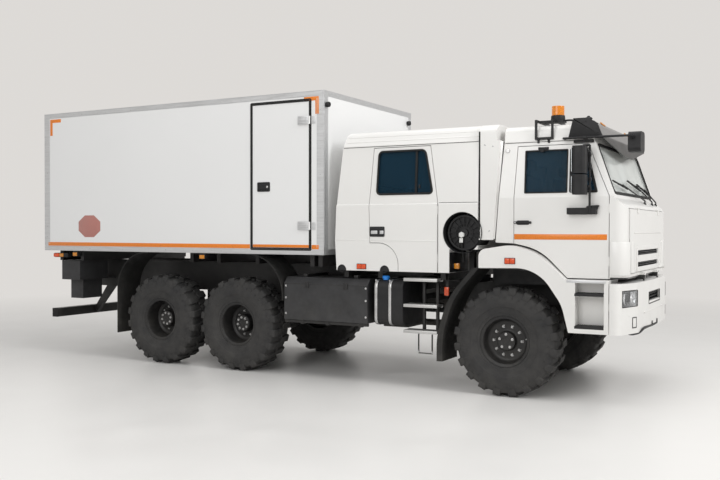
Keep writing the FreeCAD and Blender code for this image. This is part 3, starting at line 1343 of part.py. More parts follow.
# Roof visor, beacon frame and the mirrors on both sides.
def cab_outside():
    sheet_outline = [
        ("visor_back", "cab_top + seat_gap"),
        ("visor_back", "visor_top", "visor_lip_round"),
        ("cab_roof_front", "visor_top", "visor_round"),
        ("visor_shoulder", "visor_shoulder_height", "visor_round"),
        ("visor_brow", "visor_brow_height", "visor_round"),
        ("visor_front", "visor_drop"),
        ("visor_front - visor_thick", "visor_drop"),
        ("visor_brow - visor_thick", "visor_brow_height", "visor_round"),
        ("visor_shoulder - visor_thick", "visor_shoulder_height - visor_thick / 2", "visor_round"),
        ("cab_roof_front", "visor_top - visor_thick", "visor_round"),
        ("visor_back + visor_thick", "visor_top - visor_thick", "visor_lip_round - visor_thick"),
        ("visor_back + visor_thick", "cab_top + seat_gap")]
    sheet = prism("VisorSheet", "XZ", ("-visor_half", "visor_half"), sheet_outline)
    # the lip hangs lowest in the middle
    zone = prism("VisorZone", "YZ", ("visor_back - cut_over", "visor_front + cut_over"), [
        ("-visor_half", "visor_brow_height"), ("0", "visor_drop", "visor_sweep"),
        ("visor_half", "visor_brow_height"), ("visor_half", "visor_top + cut_over"),
        ("-visor_half", "visor_top + cut_over")])
    cheek = prism("VisorCheek", "XZ", ("visor_half - visor_thick", "visor_half"), [
        ("visor_cheek_back", "visor_cheek_low"),
        ("visor_back", "visor_top - visor_thick / 2"),
        ("cab_roof_front", "visor_top - visor_thick / 2"),
        ("visor_shoulder - visor_thick / 2", "visor_shoulder_height - visor_thick / 4"),
        ("visor_brow - visor_thick / 2", "visor_brow_height")])
    publish("visor", fuse("Visor", common("VisorCurved", sheet, zone), both("VisorCheeks", cheek)))
    hoop_outer = ("hoop_tuck - cab_top_half - hoop_bar", "hoop_tuck - cab_top_half")
    posts = [block("HoopFootRail", ("hoop_back", "hoop_front + hoop_bar"), hoop_outer,
                   ("hoop_low", "hoop_low + hoop_bar"))]
    for number, place in enumerate(("hoop_back", "hoop_front")):
        posts.append(block(f"HoopPost{number}", (place, f"{place} + hoop_bar"), hoop_outer,
                           ("hoop_low", "hoop_top")))
        posts.append(block(f"HoopPostIn{number}", (place, f"{place} + hoop_bar"),
                           ("-hoop_inner", "hoop_bar - hoop_inner"), ("cab_top", "hoop_top")))
        posts.append(block(f"HoopRail{number}", (place, f"{place} + hoop_bar"),
                           (hoop_outer[0], "hoop_bar - hoop_inner"), ("hoop_top - hoop_bar", "hoop_top")))
    posts.append(block("HoopPlate", ("hoop_back", "beacon_place + beacon_radius"),
                       ("-beacon_side - beacon_radius", "beacon_radius - beacon_side"),
                       ("hoop_top - hoop_bar", "hoop_top")))
    posts.append(rod("BeaconBase", "z", ("hoop_top", "hoop_top + beacon_base"),
                     ("beacon_place", "-beacon_side"), "beacon_radius"))
    posts.append(rod("BeaconDome", "z", ("hoop_top + beacon_base", "hoop_top + beacon_base + beacon_tall"),
                     ("beacon_place", "-beacon_side"), "beacon_radius - beacon_lip"))
    arm = rod("FrontArm", "x", ("front_arm_back", "nose_reach - front_mirror_deep + mirror_round"),
              ("-front_arm_side", "front_arm_height"), "mirror_arm")
    arm_foot = rod("FrontArmFoot", "y", ("-front_arm_side", "-front_arm_foot"),
                   ("front_arm_back + mirror_arm", "front_arm_height"), "mirror_arm")
    arm_in = rod("FrontArmIn", "y", ("-front_arm_side", "-front_mirror_outer"),
                 ("nose_reach - front_mirror_deep + mirror_round", "front_arm_height"), "mirror_arm")
    head = prism("FrontMirror", "YZ", ("nose_reach - front_mirror_deep", "nose_reach"), [
        ("-front_mirror_outer", "front_mirror_low", "mirror_round"),
        ("-front_mirror_inner", "front_mirror_low", "mirror_round"),
        ("-front_mirror_inner", "front_mirror_top", "mirror_round"),
        ("-front_mirror_outer", "front_mirror_top", "mirror_round")])
    publish("roof_gear", fuse("Beacon", *posts), fuse("FrontMirrorSet", arm, arm_foot, arm_in, head))
    cases = []
    for number, (low, high, link) in enumerate((
            ("mirror_low", "mirror_split_low", "mirror_low + 2 * mirror_round"),
            ("mirror_split_top", "mirror_top", "mirror_top - mirror_round"))):
        cases.append(prism(f"MirrorCase{number}", "XY", (low, high), [
            ("mirror_back", "mirror_inner", "mirror_round"), ("mirror_front", "mirror_inner", "mirror_round"),
            ("mirror_front", "mirror_outer", "mirror_round"), ("mirror_back", "mirror_outer", "mirror_round")]))
        cases.append(block(f"MirrorLink{number}", ("mirror_front - mirror_round", "mirror_arm_place"),
                           ("mirror_inner - mirror_arm / 2", "mirror_inner + mirror_round"),
                           (f"{link} - mirror_arm", f"{link} + mirror_arm")))
    mast = rod("MirrorMast", "z", ("bracket_low", "mirror_stay_height"),
               ("mirror_arm_place", "mirror_inner - mirror_arm"), "mirror_arm")
    foot = block("MirrorFoot", ("bracket_back", "bracket_front"), ("cab_half", "mirror_inner - mirror_arm"),
                 ("bracket_low", "bracket_top"))
    top_arm = rod("MirrorTopArm", "y", ("mirror_stay_inner", "mirror_inner - mirror_arm"),
                  ("mirror_stay_place", "mirror_stay_height"), "mirror_arm")
    top_link = rod("MirrorTopLink", "x", ("mirror_stay_place", "mirror_arm_place"),
                   ("mirror_inner - mirror_arm", "mirror_stay_height"), "mirror_arm")
    mirror = fuse("MirrorSet", *cases, mast, foot, top_arm, top_link)
    publish("mirror_left", mirror)
    publish("mirror_right", mirrored("MirrorRight", mirror))


# Front bumper, with a pocket for each lamp and an opening in the middle.
def bumper():
    outline = [
        ("bumper_back", "-bumper_half"),
        ("bumper_side_front", "-bumper_half", "bumper_corner"),
        ("bumper_shoulder", "-bumper_shoulder_half", "bumper_round"),
        ("bumper_front", "-bumper_flat_half"),
        ("bumper_front", "bumper_flat_half"),
        ("bumper_shoulder", "bumper_shoulder_half", "bumper_round"),
        ("bumper_side_front", "bumper_half", "bumper_corner"),
        ("bumper_back", "bumper_half")]
    full = ("bumper_low", "bumper_top")
    outer = prism("BumperOuter", "XY", full, outline)
    inner = prism("BumperInner", "XY", ("bumper_low - cut_over", "bumper_top - bumper_wall"), outline,
                  "bumper_wall")
    behind = block("BumperBehind", ("bumper_back - cut_over", "bumper_side_front - bumper_wall"),
                   ("bumper_wall - bumper_half", "bumper_half - bumper_wall"),
                   ("bumper_low - cut_over", "bumper_top - bumper_wall"))
    slot = block("BumperSlot", ("bumper_shoulder - cut_over", "bumper_front + cut_over"),
                 ("-slot_half", "slot_half"), ("slot_low", "slot_top"))
    pocket = block("LampPocket", ("bumper_back + cut_over", "bumper_front + cut_over"),
                   ("lamp_inner", "lamp_outer"), ("lamp_low", "lamp_top"))
    skin = cut("BumperSkin", outer, inner, behind, slot, both("LampPockets", pocket))
    ear = block("TiltEar", ("tilt_place - tilt_pin_radius", "tilt_place + tilt_pin_radius"),
                ("tilt_lug_place + tilt_lug_half + fork_gap",
                 "tilt_lug_place + tilt_lug_half + fork_gap + tilt_lug_thick"),
                ("bumper_top - bumper_wall", "tilt_height + tilt_pin_radius"))
    pin = rod("TiltPin", "y", ("tilt_lug_place - tilt_lug_half",
                               "tilt_lug_place + tilt_lug_half + fork_gap + tilt_lug_thick"),
              ("tilt_place", "tilt_height"), "tilt_pin_radius / 2")
    publish("bumper", fuse("Bumper", skin, both("TiltEars", fuse("TiltEarPin", ear, pin))))
    body = block("LampBody", ("bumper_back + cut_over", "bumper_front + cut_over"),
                 ("lamp_inner + fork_gap", "lamp_outer - fork_gap"),
                 ("lamp_low + fork_gap", "lamp_top - fork_gap"))
    lens = common("LampLens", body, outer)
    return both("Headlamps", lens)


# Front fenders with the entry steps ahead of the wheel.
def front_fenders():
    outline = [
        ("fender_back", "fender_back_low"),
        ("fender_back", "fender_back_top", "crew_corner"),
        ("arch_back", "fender_top", "arch_round"),
        ("arch_mid", "arch_mid_height - panel_gap * 5", "arch_knee_round"),
        ("arch_front", "fender_slope_low"),
        ("step_front", "fender_slope_low"),
        ("step_front", "step_low"),
        ("step_back", "step_low"),
        ("fender_arch_front", "fender_arch_low", "arch_round"),
        ("arch_mid", "fender_arch_top", "arch_round")]
    span = ("fender_inner", "fender_outer")
    solid = prism("FenderSolid", "XZ", span, outline)
    hollow = prism("FenderHollow", "XZ", ("fender_inner - cut_over", "fender_outer - fender_wall"),
                   outline, "fender_wall")
    recess = block("StepRecess", ("step_recess_back", "step_recess_front"),
                   ("fender_outer - step_recess", "fender_outer + cut_over"),
                   ("tread_lower - tread_thick", "fender_slope_low - tread_thick"))
    lining = block("StepLining", ("step_recess_back - fender_wall", "step_recess_front + fender_wall"),
                   ("fender_outer - step_recess - fender_wall", "fender_outer - fender_wall / 2"),
                   ("tread_lower - tread_thick - fender_wall", "fender_slope_low - tread_thick + fender_wall"))
    skin = fuse("FenderLined", cut("FenderSkin", solid, hollow), lining)
    open_skin = cut("FenderOpen", skin, recess)
    treads = []
    for number, level in enumerate(("tread_lower", "tread_upper")):
        treads.append(block(f"Tread{number}", ("step_recess_back", "step_recess_front"),
                            ("fender_outer - step_recess", "fender_outer"),
                            (f"{level} - tread_thick", level)))
    stay = block("FenderStay", ("step_back + fender_wall", "bumper_back - cut_over"),
                 ("rail_outer", "fender_inner + cut_over"),
                 ("cross_low", "cross_low + cross_wide"))
    link = block("FenderLink", ("step_front - fender_wall", "bumper_back"),
                 ("fender_inner", "fender_outer - fender_wall"), ("cross_low", "cross_low + cross_wide"))
    fender = fuse("Fender", open_skin, *treads, stay, link)
    # the arch and the step block are two pressings that meet in front of the door
    front = block("StepBlockZone", ("arch_front", "bumper_back + cut_over"),
                  ("cut_over", "fender_outer + cut_over"), ("step_low - cut_over", "fender_top + cut_over"))
    publish("front_fenders", both("StepBlocks", common("StepBlock", fender, front)),
            both("Arches", cut("Arch", fender, front)))


# Black rubber behind the front wheels and the guards around the rear wheels.
def mudguards():
    line = [("fender_back", "fender_back_low"), ("flap_elbow", "flap_elbow_height", "flap_round"),
            ("flap_place", "flap_knee_height", "flap_round"), ("flap_place", "flap_low")]

    def strip(name, span, wide):
        far = [(f"{corner[0]} - {wide}", *corner[1:]) for corner in reversed(line)]
        return prism(name, "XZ", span, line + far)

    sheet_piece = strip("FrontFlapSheet", ("flap_inner", "flap_outer"), "flap_thick")
    lip = strip("FrontFlapLip", ("flap_outer - flap_thick", "flap_outer"), "flap_lip")
    front = fuse("FrontFlap", sheet_piece, lip)
    last = "-wheelbase - bogie_gap"
    rear_outline = [
        (f"{last} - guard_reach - flap_thick", "guard_low"),
        (f"{last} - guard_reach - flap_thick", "van_low - seat_gap", "guard_round + flap_thick"),
        (f"{last} - guard_top_reach", "van_low - seat_gap"),
        (f"{last} - guard_top_reach", "van_low - seat_gap - flap_thick"),
        (f"{last} - guard_reach", "van_low - seat_gap - flap_thick", "guard_round"),
        (f"{last} - guard_reach", "guard_low")]
    rear = prism("RearGuard", "XZ", ("flap_inner", "flap_outer"), rear_outline)
    middle_outline = [
        ("middle_guard_reach + flap_thick - wheelbase", "front_guard_low"),
        ("middle_guard_reach + flap_thick - wheelbase", "van_low - seat_gap", "guard_round + flap_thick"),
        ("guard_top_reach - wheelbase", "van_low - seat_gap"),
        ("guard_top_reach - wheelbase", "van_low - seat_gap - flap_thick"),
        ("middle_guard_reach - wheelbase", "van_low - seat_gap - flap_thick", "guard_round"),
        ("middle_guard_reach - wheelbase", "front_guard_low")]
    ahead = prism("MiddleGuard", "XZ", ("flap_inner", "flap_outer"), middle_outline)
    pieces = [both("FrontFlaps", front), both("RearGuards", rear), both("MiddleGuards", ahead)]
    publish("mudguards", *pieces)


# Boxes and tanks hung on the frame's sides.
def side_equipment():
    box_back = "tyre_radius + box_back_gap - wheelbase"
    box = prism("CoverBox", "XZ", ("-box_outer", "-box_inner"), [
        (box_back, "box_low"), (box_back, "box_top"), ("box_front", "box_top"), ("box_front", "box_low")])
    bevel = pad("BoxBevel", "YZ", (f"{box_back} - cut_over", "box_front + cut_over"), [
        ("-box_outer - cut_over", "box_top - box_bevel"),
        ("-box_outer", "box_top - box_bevel"),
        ("box_bevel - box_outer", "box_top"),
        ("box_bevel - box_outer", "box_top + cut_over"),
        ("-box_outer - cut_over", "box_top + cut_over")])
    hangers = []
    for number, place in enumerate((f"{box_back} + cross_wide", "box_front - 2 * cross_wide")):
        hangers.append(block(f"BoxHanger{number}", (place, f"{place} + hanger_half * 2"),
                             ("-box_inner", "-rail_outer"), ("cross_low", "cross_top")))
    cover_box = fuse("CoverBoxWhole", cut("BoxBevelled", box, bevel), *hangers)
    locker = block("Locker", ("locker_back", "locker_front"), ("locker_inner", "locker_outer"),
                   ("locker_low", "locker_top"))
    shelf = block("LockerShelf", ("locker_back", "locker_front"), ("rail_outer", "locker_outer"),
                  ("locker_low - shelf_thick", "locker_low"))
    low = block("LowLocker", ("locker_back + cut_over", "locker_front - cut_over"),
                ("locker_inner + cut_over", "locker_outer - 2 * cut_over"),
                ("low_locker_low", "locker_low - shelf_thick"))
    publish("lockers", cover_box, both("Lockers", fuse("LockerSide", locker, shelf, low)))

    def tank(name, back, front, sign):
        def span(low, high):
            return (low, high) if not sign else (f"-({high})", f"-({low})")
        low_y, high_y = span("tank_inner", "tank_outer")
        shell = prism(name, "YZ", (back, front), [
            (low_y, "tank_low", "tank_corner"), (high_y, "tank_low", "tank_corner"),
            (high_y, "tank_top", "tank_corner"), (low_y, "tank_top", "tank_corner")])
        pieces = [shell]
        for number, share in enumerate((0.2, 0.8)):
            place = f"{back} + ({front} - ({back})) * {share}"
            pieces.append(block(f"{name}Hanger{number}", (f"{place} - hanger_half", f"{place} + hanger_half"),
                                span("rail_outer", "tank_inner"), ("cross_low", "cross_top")))
        return fuse(name + "Whole", *pieces)

    publish("side_tanks", tank("RightTank", "tank_back", "tank_front", "-"),
            tank("LeftTank", "tyre_radius + left_tank_gap - wheelbase", "left_tank_front", ""))
    can = turned("FilterCan", [
        ("-filter_outer", "0"),
        ("-filter_outer", "filter_boss_radius"),
        ("filter_lip - filter_outer", "filter_boss_radius"),
        ("filter_lip - filter_outer", "filter_radius - filter_lip"),
        ("-filter_outer", "filter_radius - filter_lip"),
        ("-filter_outer", "filter_radius"),
        ("-filter_groove", "filter_radius"),
        ("-filter_groove", "filter_radius - filter_lip / 2"),
        ("filter_lip - filter_groove", "filter_radius - filter_lip / 2"),
        ("filter_lip - filter_groove", "filter_radius"),
        ("-filter_inner - panel_gap", "filter_radius"),
        ("-filter_inner - panel_gap", "0")], ("filter_place", "0", "filter_height"))
    leg = block("FilterLeg", ("filter_place - hanger_half", "filter_place + hanger_half"),
                ("-filter_inner - cross_wide", "-filter_inner - panel_gap"),
                ("rail_top", "filter_height"))
    foot = block("FilterFoot", ("filter_place - hanger_half", "filter_place + hanger_half"),
                 ("-filter_inner - cross_wide", "-rail_outer + rail_flange"),
                 ("rail_top", "rail_top + cross_wide"))
    publish("air_filter", fuse("AirFilter", can, leg, foot))


def crew_steps():
    pieces = []
    for number, level in enumerate(("ladder_low", "ladder_mid", "ladder_top")):
        pieces.append(block(f"LadderTread{number}", ("ladder_back", "ladder_front"),
                            ("-ladder_tread_outer", "-ladder_tread_inner"),
                            (f"{level} - ladder_tread_thick", level)))
    for number, place in enumerate(("ladder_post_back", "ladder_post_front")):
        pieces.append(block(f"LadderPost{number}",
                            (f"{place} - ladder_post_half", f"{place} + ladder_post_half"),
                            ("-ladder_tread_inner - ladder_post_half", "ladder_post_half - ladder_tread_inner"),
                            ("ladder_low - ladder_tread_thick", "ladder_top")))
        pieces.append(rod(f"Stirrup{number}", "z", ("stirrup_low", "ladder_low"),
                          (place, "-ladder_tread_outer + ladder_post_half"), "stirrup_radius"))
        pieces.append(block(f"LadderArm{number}",
                            (f"{place} - ladder_post_half", f"{place} + ladder_post_half"),
                            ("-ladder_tread_inner", "-rail_outer"),
                            ("ladder_mid + cross_wide", "ladder_mid + cross_wide * 2")))
    pieces.append(rod("StirrupBar", "x", ("ladder_post_back", "ladder_post_front"),
                      ("-ladder_tread_outer + ladder_post_half", "stirrup_low"), "stirrup_radius"))
    publish("crew_steps", fuse("CrewSteps", *pieces))


# Underrun bar on its struts.
def underrun():
    bar = block("UnderrunBar", ("underrun_place - underrun_deep / 2", "underrun_place + underrun_deep / 2"),
                ("-underrun_half", "underrun_half"), ("underrun_low", "underrun_low + underrun_tall"))
    strut = pad("UnderrunStrut", "XZ", ("rail_outer - rail_flange", "rail_outer - rail_flange + strut_half * 2"), [
        ("underrun_place + underrun_deep / 2", "underrun_low"),
        ("rail_back + cross_wide * 5", "rail_top - rail_deep"),
        ("rail_back + cross_wide * 3", "rail_top - rail_deep"),
        ("underrun_place + underrun_deep / 2", "underrun_low + underrun_tall")])
    publish("underrun_bar", fuse("Underrun", bar, both("Struts", strut)))


def lamps(headlamps):
    tail = block("TailLamp", ("lamp_tail_back", "lamp_tail_front"), ("lamp_tail_inner", "lamp_tail_outer"),
                 ("lamp_tail_low", "lamp_tail_low + lamp_tail_tall"))
    hang = block("TailHang", ("lamp_tail_back + cross_wide", "lamp_tail_front - cross_wide"),
                 ("lamp_tail_inner", "lamp_tail_inner + hanger_half"),
                 ("lamp_tail_low + lamp_tail_tall", "van_low"))
    markers = [fuse("TailLampHung", tail, hang)]
    for number, place in enumerate(("marker_rear", "marker_mid")):
        markers.append(block(f"Marker{number}", (f"{place} - marker_wide / 2", f"{place} + marker_wide / 2"),
                             ("marker_inner", "marker_outer"), ("marker_low", "van_low")))
    publish("lamps", headlamps, both("Lamps", fuse("LampSide", *markers)))


for build in (chassis_frame, power_train, front_axle, rear_axles, knuckles, tie_rod, suspension, wheels,
              van_body, crew_module, crew_seats, cab_outside, front_fenders, mudguards, side_equipment,
              crew_steps, underrun):
    build()
cab_inside(cab())
lamps(bumper())

doc.recompute()
for item in doc.Objects:
    if "Invalid" in item.State or "Error" in item.State:
        raise RuntimeError(f"{item.Label} failed: {item.State}")
for node, whole in parts.items():
    if whole.Shape.isNull() or not whole.Shape.isValid() or not whole.Shape.Solids:
        raise RuntimeError(f"{node} has no valid solid")
os.makedirs("parts", exist_ok=True)
for node, whole in parts.items():
    whole.Shape.exportStep(f"parts/{node}.step")
    box = whole.Shape.BoundBox
    print(f"{node}: {len(whole.Shape.Solids)} solids, x {box.XMin:.0f}..{box.XMax:.0f},"
          f" y {box.YMin:.0f}..{box.YMax:.0f}, z {box.ZMin:.0f}..{box.ZMax:.0f}")
print(len(parts), "nodes")
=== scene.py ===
import bpy, bmesh, json, math
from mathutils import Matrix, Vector

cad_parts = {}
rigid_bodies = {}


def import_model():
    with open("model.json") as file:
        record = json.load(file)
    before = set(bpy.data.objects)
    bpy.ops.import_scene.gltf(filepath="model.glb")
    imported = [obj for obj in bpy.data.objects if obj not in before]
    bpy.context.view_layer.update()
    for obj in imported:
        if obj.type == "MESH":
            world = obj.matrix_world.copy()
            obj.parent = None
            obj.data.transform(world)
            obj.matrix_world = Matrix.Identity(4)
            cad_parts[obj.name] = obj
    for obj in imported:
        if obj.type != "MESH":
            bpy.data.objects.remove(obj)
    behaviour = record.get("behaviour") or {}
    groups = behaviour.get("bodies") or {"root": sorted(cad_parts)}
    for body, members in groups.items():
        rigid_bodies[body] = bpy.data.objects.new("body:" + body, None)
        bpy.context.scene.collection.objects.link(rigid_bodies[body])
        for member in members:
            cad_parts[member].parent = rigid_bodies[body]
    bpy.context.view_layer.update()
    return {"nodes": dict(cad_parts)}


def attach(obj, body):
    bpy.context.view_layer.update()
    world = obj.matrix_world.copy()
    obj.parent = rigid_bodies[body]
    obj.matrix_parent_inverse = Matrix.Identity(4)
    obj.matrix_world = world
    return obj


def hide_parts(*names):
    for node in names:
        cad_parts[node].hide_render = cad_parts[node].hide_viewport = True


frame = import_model()
nodes = frame["nodes"]
print("frame loaded,", len(nodes), "nodes")

# Places below are in metres: X from the front axle (forward is +), Y to the truck's left, Z up.
frontAxle = 2.935
origin = (-frontAxle, 0, 0)
poleRadius, poleGap = 0.0004, 0.0009  # a turned piece's poles start this wide and are merged within the gap
toRight, toLeft = (math.pi / 2, 0, 0), (-math.pi / 2, 0, 0)  # turned parts that face a side
toFront, toBack, toSky = (0, math.pi / 2, 0), (0, -math.pi / 2, 0), (0, 0, 0)
outward = {-1: toRight, 1: toLeft}
bothSides = ((-1, "right"), (1, "left"))


def settle():
    if bpy.context.object and bpy.context.object.mode != "OBJECT":
        bpy.ops.object.mode_set(mode="OBJECT")
    bpy.ops.object.select_all(action="DESELECT")


def take(piece):
    settle()
    piece.select_set(True)
    bpy.context.view_layer.objects.active = piece
    return piece


def fixPlace(piece):
    take(piece)
    bpy.ops.object.transform_apply(location=True, rotation=True, scale=True)
    return piece


def openEdit(piece, kind=None, action="SELECT"):
    take(piece)
    bpy.ops.object.mode_set(mode="EDIT")
    if kind:
        bpy.ops.mesh.select_mode(type=kind)
    bpy.ops.mesh.select_all(action=action)


def leaveEdit():
    bpy.ops.object.mode_set(mode="OBJECT")


def faceOut(piece, gap=0.0):  # close tiny gaps, turn the normals outward and leave edit mode
    openEdit(piece)
    if gap:
        bpy.ops.mesh.remove_doubles(threshold=gap)
    bpy.ops.mesh.normals_make_consistent(inside=False)
    leaveEdit()


def editFaces(piece, wanted):  # into edit mode with the wanted faces selected, by middle and normal
    openEdit(piece, "FACE", "DESELECT")
    shape = bmesh.from_edit_mesh(piece.data)
    for face in shape.faces:
        face.select_set(bool(wanted(face.calc_center_median(), face.normal)))
    bmesh.update_edit_mesh(piece.data)


def shiftVerts(piece, wanted, by):
    openEdit(piece, "VERT", "DESELECT")
    shape = bmesh.from_edit_mesh(piece.data)
    for vertex in shape.verts:
        vertex.select_set(bool(wanted(vertex.co)))
    bmesh.update_edit_mesh(piece.data)
    bpy.ops.transform.translate(value=by)
    leaveEdit()


def modify(piece, kind, **settings):
    take(piece)
    added = piece.modifiers.new(kind.title(), kind)
    for key, value in settings.items():
        setattr(added, key, value)
    bpy.ops.object.modifier_apply(modifier=added.name)
    return piece


def soften(piece, width, segments=2, angle=30):
    return modify(piece, "BEVEL", width=width, segments=segments, limit_method="ANGLE",
                  angle_limit=math.radians(angle), use_clamp_overlap=True)


def addBox(name, xs, ys, zs, edge=0.004, segments=2):  # a block with its edges rounded
    settle()
    spans = (xs, ys, zs)
    middle = [(a + b) / 2 for a, b in spans]
    bpy.ops.mesh.primitive_cube_add(size=1, location=(middle[0] + frontAxle, middle[1], middle[2]))
    piece = bpy.context.object
    piece.name = name
    piece.scale = [abs(b - a) for a, b in spans]
    fixPlace(piece)
    return soften(piece, edge, segments) if edge else piece


def pairOf(name, xs, ys, zs, edge=0.004, segments=2):  # the same block on both sides
    return [addBox(name, xs, (sign * ys[0], sign * ys[1]), zs, edge, segments) for sign in (-1, 1)]


def around(middle, half):
    return (middle - half, middle + half)


def pushFace(piece, normal, inset, depth):  # inset the outermost faces looking one way, then push them
    way = Vector(normal).normalized()
    extreme = max(vertex.co @ way for vertex in piece.data.vertices)
    editFaces(piece, lambda middle, facing: facing @ way > 0.9 and middle @ way > extreme - 0.001)
    bpy.ops.mesh.inset(thickness=inset, depth=0)
    bpy.ops.mesh.extrude_region_move(TRANSFORM_OT_translate={"value": tuple(way * depth)})
    leaveEdit()


def addRod(name, start, end, radius, sides=14, edge=0.0015):  # a round bar with eased ends
    settle()
    a, b = (Vector((p[0] + frontAxle, p[1], p[2])) for p in (start, end))
    run = b - a
    bpy.ops.mesh.primitive_cylinder_add(vertices=sides, radius=radius, depth=run.length,
                                        location=(a + b) / 2,
                                        rotation=run.to_track_quat("Z", "Y").to_euler())
    piece = bpy.context.object
    piece.name = name
    fixPlace(piece)
    return soften(piece, min(edge, radius * 0.3), 1, 50)


def addTurned(name, rings, place, turn=toSky, sides=32):  # rings of (along, radius) about one axis
    rings = [(along, max(radius, poleRadius)) for along, radius in rings]
    (along, radius), others = rings[0], rings[1:]
    settle()
    bpy.ops.mesh.primitive_circle_add(vertices=sides, radius=radius, location=(0, 0, along))
    piece = bpy.context.object
    piece.name = name
    fixPlace(piece)
    openEdit(piece, "VERT")
    for nextAlong, nextRadius in others:
        bpy.ops.mesh.extrude_edges_move()
        bpy.ops.transform.translate(value=(0, 0, nextAlong - along))
        share = nextRadius / radius
        bpy.ops.transform.resize(value=(share, share, 1))
        along, radius = nextAlong, nextRadius
    leaveEdit()
    faceOut(piece, poleGap)
    piece.rotation_euler = turn
    piece.location = (place[0] + frontAxle, place[1], place[2])
    return fixPlace(piece)


def addPath(name, points, kind, closed=False):
    settle()
    bpy.ops.curve.primitive_nurbs_path_add()
    path = bpy.context.object
    path.name = name
    path.data.splines.clear()
    line = path.data.splines.new(kind)
    line.points.add(len(points) - 1)
    for spot, point in zip(line.points, points):
        spot.co = (point[0] + frontAxle, point[1], point[2], 1)
    line.use_cyclic_u = closed
    if kind == "NURBS":
        line.order_u = 3
        line.use_endpoint_u = True
    path.location = (0, 0, 0)
    return path


def addPlate(name, corners, thick, roundness=0.0, hole=0.0, segments=5, edge=0.0015):
    # a flat plate with given corners (x, y, z); hole gives a frame of that width
    take(addPath(name, corners, "POLY", True))
    bpy.ops.object.convert(target="MESH")
    piece = bpy.context.object
    openEdit(piece)
    bpy.ops.mesh.edge_face_add()
    if roundness:
        bpy.ops.mesh.select_mode(type="VERT")
        bpy.ops.mesh.select_all(action="SELECT")
        bpy.ops.mesh.bevel(offset=roundness, segments=segments, affect="VERTICES")
    if hole:
        bpy.ops.mesh.select_mode(type="FACE")
        bpy.ops.mesh.select_all(action="SELECT")
        bpy.ops.mesh.inset(thickness=hole, depth=0)
        bpy.ops.mesh.delete(type="FACE")
    leaveEdit()
    modify(piece, "SOLIDIFY", thickness=thick, offset=0)
    return soften(piece, edge, 2, 40) if edge else piece


def addTube(name, points, radius, bevel=4):  # a bent bar along points
    path = addPath(name, points, "NURBS")
    path.data.bevel_depth = radius
    path.data.bevel_resolution = bevel
    path.data.resolution_u = 6
    path.data.use_fill_caps = True
    take(path)
    bpy.ops.object.convert(target="MESH")
    faceOut(bpy.context.object, 0.0001)
    return fixPlace(bpy.context.object)


def copyOf(piece, name, shift=(0, 0, 0), turn=None, about=(0, 0, 0)):  # a copy with a mesh of its own
    take(piece)
    bpy.ops.object.duplicate(linked=False)
    other = bpy.context.object
    other.name = name
    if turn:  # (axis, angle) about a place
        spot = (about[0] + frontAxle, about[1], about[2])
        bpy.context.scene.cursor.location = spot
        bpy.ops.object.origin_set(type="ORIGIN_CURSOR")
        other.rotation_euler["XYZ".index(turn[0])] = turn[1]
        fixPlace(other)
        bpy.context.scene.cursor.location = (0, 0, 0)
        bpy.ops.object.origin_set(type="ORIGIN_CURSOR")
    other.location = shift
    return fixPlace(other)


def mirrorOf(piece, name):  # the same piece on the truck's other side
    take(piece)
    bpy.ops.object.duplicate(linked=False)
    other = bpy.context.object
    other.name = name
    other.scale = (1, -1, 1)
    faceOut(fixPlace(other))
    return other


def removeAll(*pieces):
    for piece in pieces:
        bpy.data.objects.remove(piece)


def joinAs(name, pieces):
    take(pieces[0])
    for piece in pieces:
        piece.select_set(True)
    bpy.context.view_layer.objects.active = pieces[0]
    if len(pieces) > 1:
        bpy.ops.object.join()
    joined = bpy.context.object
    joined.name = name
    return joined


def dress(piece, finish, body="chassis", slotName=None, angle=32):  # finish, smoothing and body; the slot's name is looked up but not set on the piece
    fixPlace(piece)
    piece.data.materials.clear()
    piece.data.materials.append(finish)
    bpy.ops.object.shade_smooth_by_angle(angle=math.radians(angle))
    slotName = slotName or slotOfFinish[finish.name]
    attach(piece, body)
    return piece


def build(name, pieces, finish, body="chassis", slotName=None, angle=32):  # shapes joined as one piece
    return dress(joinAs(name, pieces), finish, body, slotName, angle)


def atY(points, y):
    return [(x, y, z) for x, z in points]


def atX(points, x, sign=1):
    return [(x, sign * y, z) for y, z in points]


def atZ(points, z, sign):
    return [(x, sign * y, z) for x, y in points]


def flip(points, sign):
    return [(x, sign * y, z) for x, y, z in points]


def rectangle(first, second):
    return [(first[0], second[0]), (first[1], second[0]), (first[1], second[1]), (first[0], second[1])]


def arcOf(x, z, wide, tall, degrees, start=0):  # places on an ellipse
    angles = [math.radians(start + angle) for angle in degrees]
    return [(x + wide * math.cos(angle), z + tall * math.sin(angle)) for angle in angles]


def sidePanel(name, xs, zs, y, thick, roundness=0.0, hole=0.0, edge=0.0008):  # a plate facing sideways
    return addPlate(name, atY(rectangle(xs, zs), y), thick, roundness, hole, 5, edge)


def rowOf(piece, count, step):  # repeats in a straight row
    return modify(piece, "ARRAY", count=count, use_relative_offset=False, use_constant_offset=True,
                  constant_offset_displace=step)


def addDome(name, place, radius, tall, turn, sides=10):  # a rivet or bolt head
    return addTurned(name, [(0, 0), (0, radius), (tall * 0.45, radius * 0.92), (tall * 0.85, radius * 0.55),
                            (tall, 0)], place, turn, sides)


def addBolt(name, place, radius, tall, turn):  # a hexagon head on a washer
    washer = addTurned(name + "Washer", [(0, 0), (0, radius * 1.5), (tall * 0.3, radius * 1.45),
                                         (tall * 0.3, 0)], place, turn, 14)
    head = addTurned(name, [(tall * 0.3, 0), (tall * 0.3, radius), (tall * 0.85, radius),
                            (tall, radius * 0.8), (tall, 0)], place, turn, 6)
    return joinAs(name, [washer, head])


# Finishes. Each reads Object coordinates, in metres, centred by a Mapping node.
def addNode(near, kind):  # a node in the tree that another node or socket belongs to
    return near.id_data.nodes.new("ShaderNode" + kind)


def link(source, node, socket):
    source.id_data.links.new(source, node.inputs[socket])


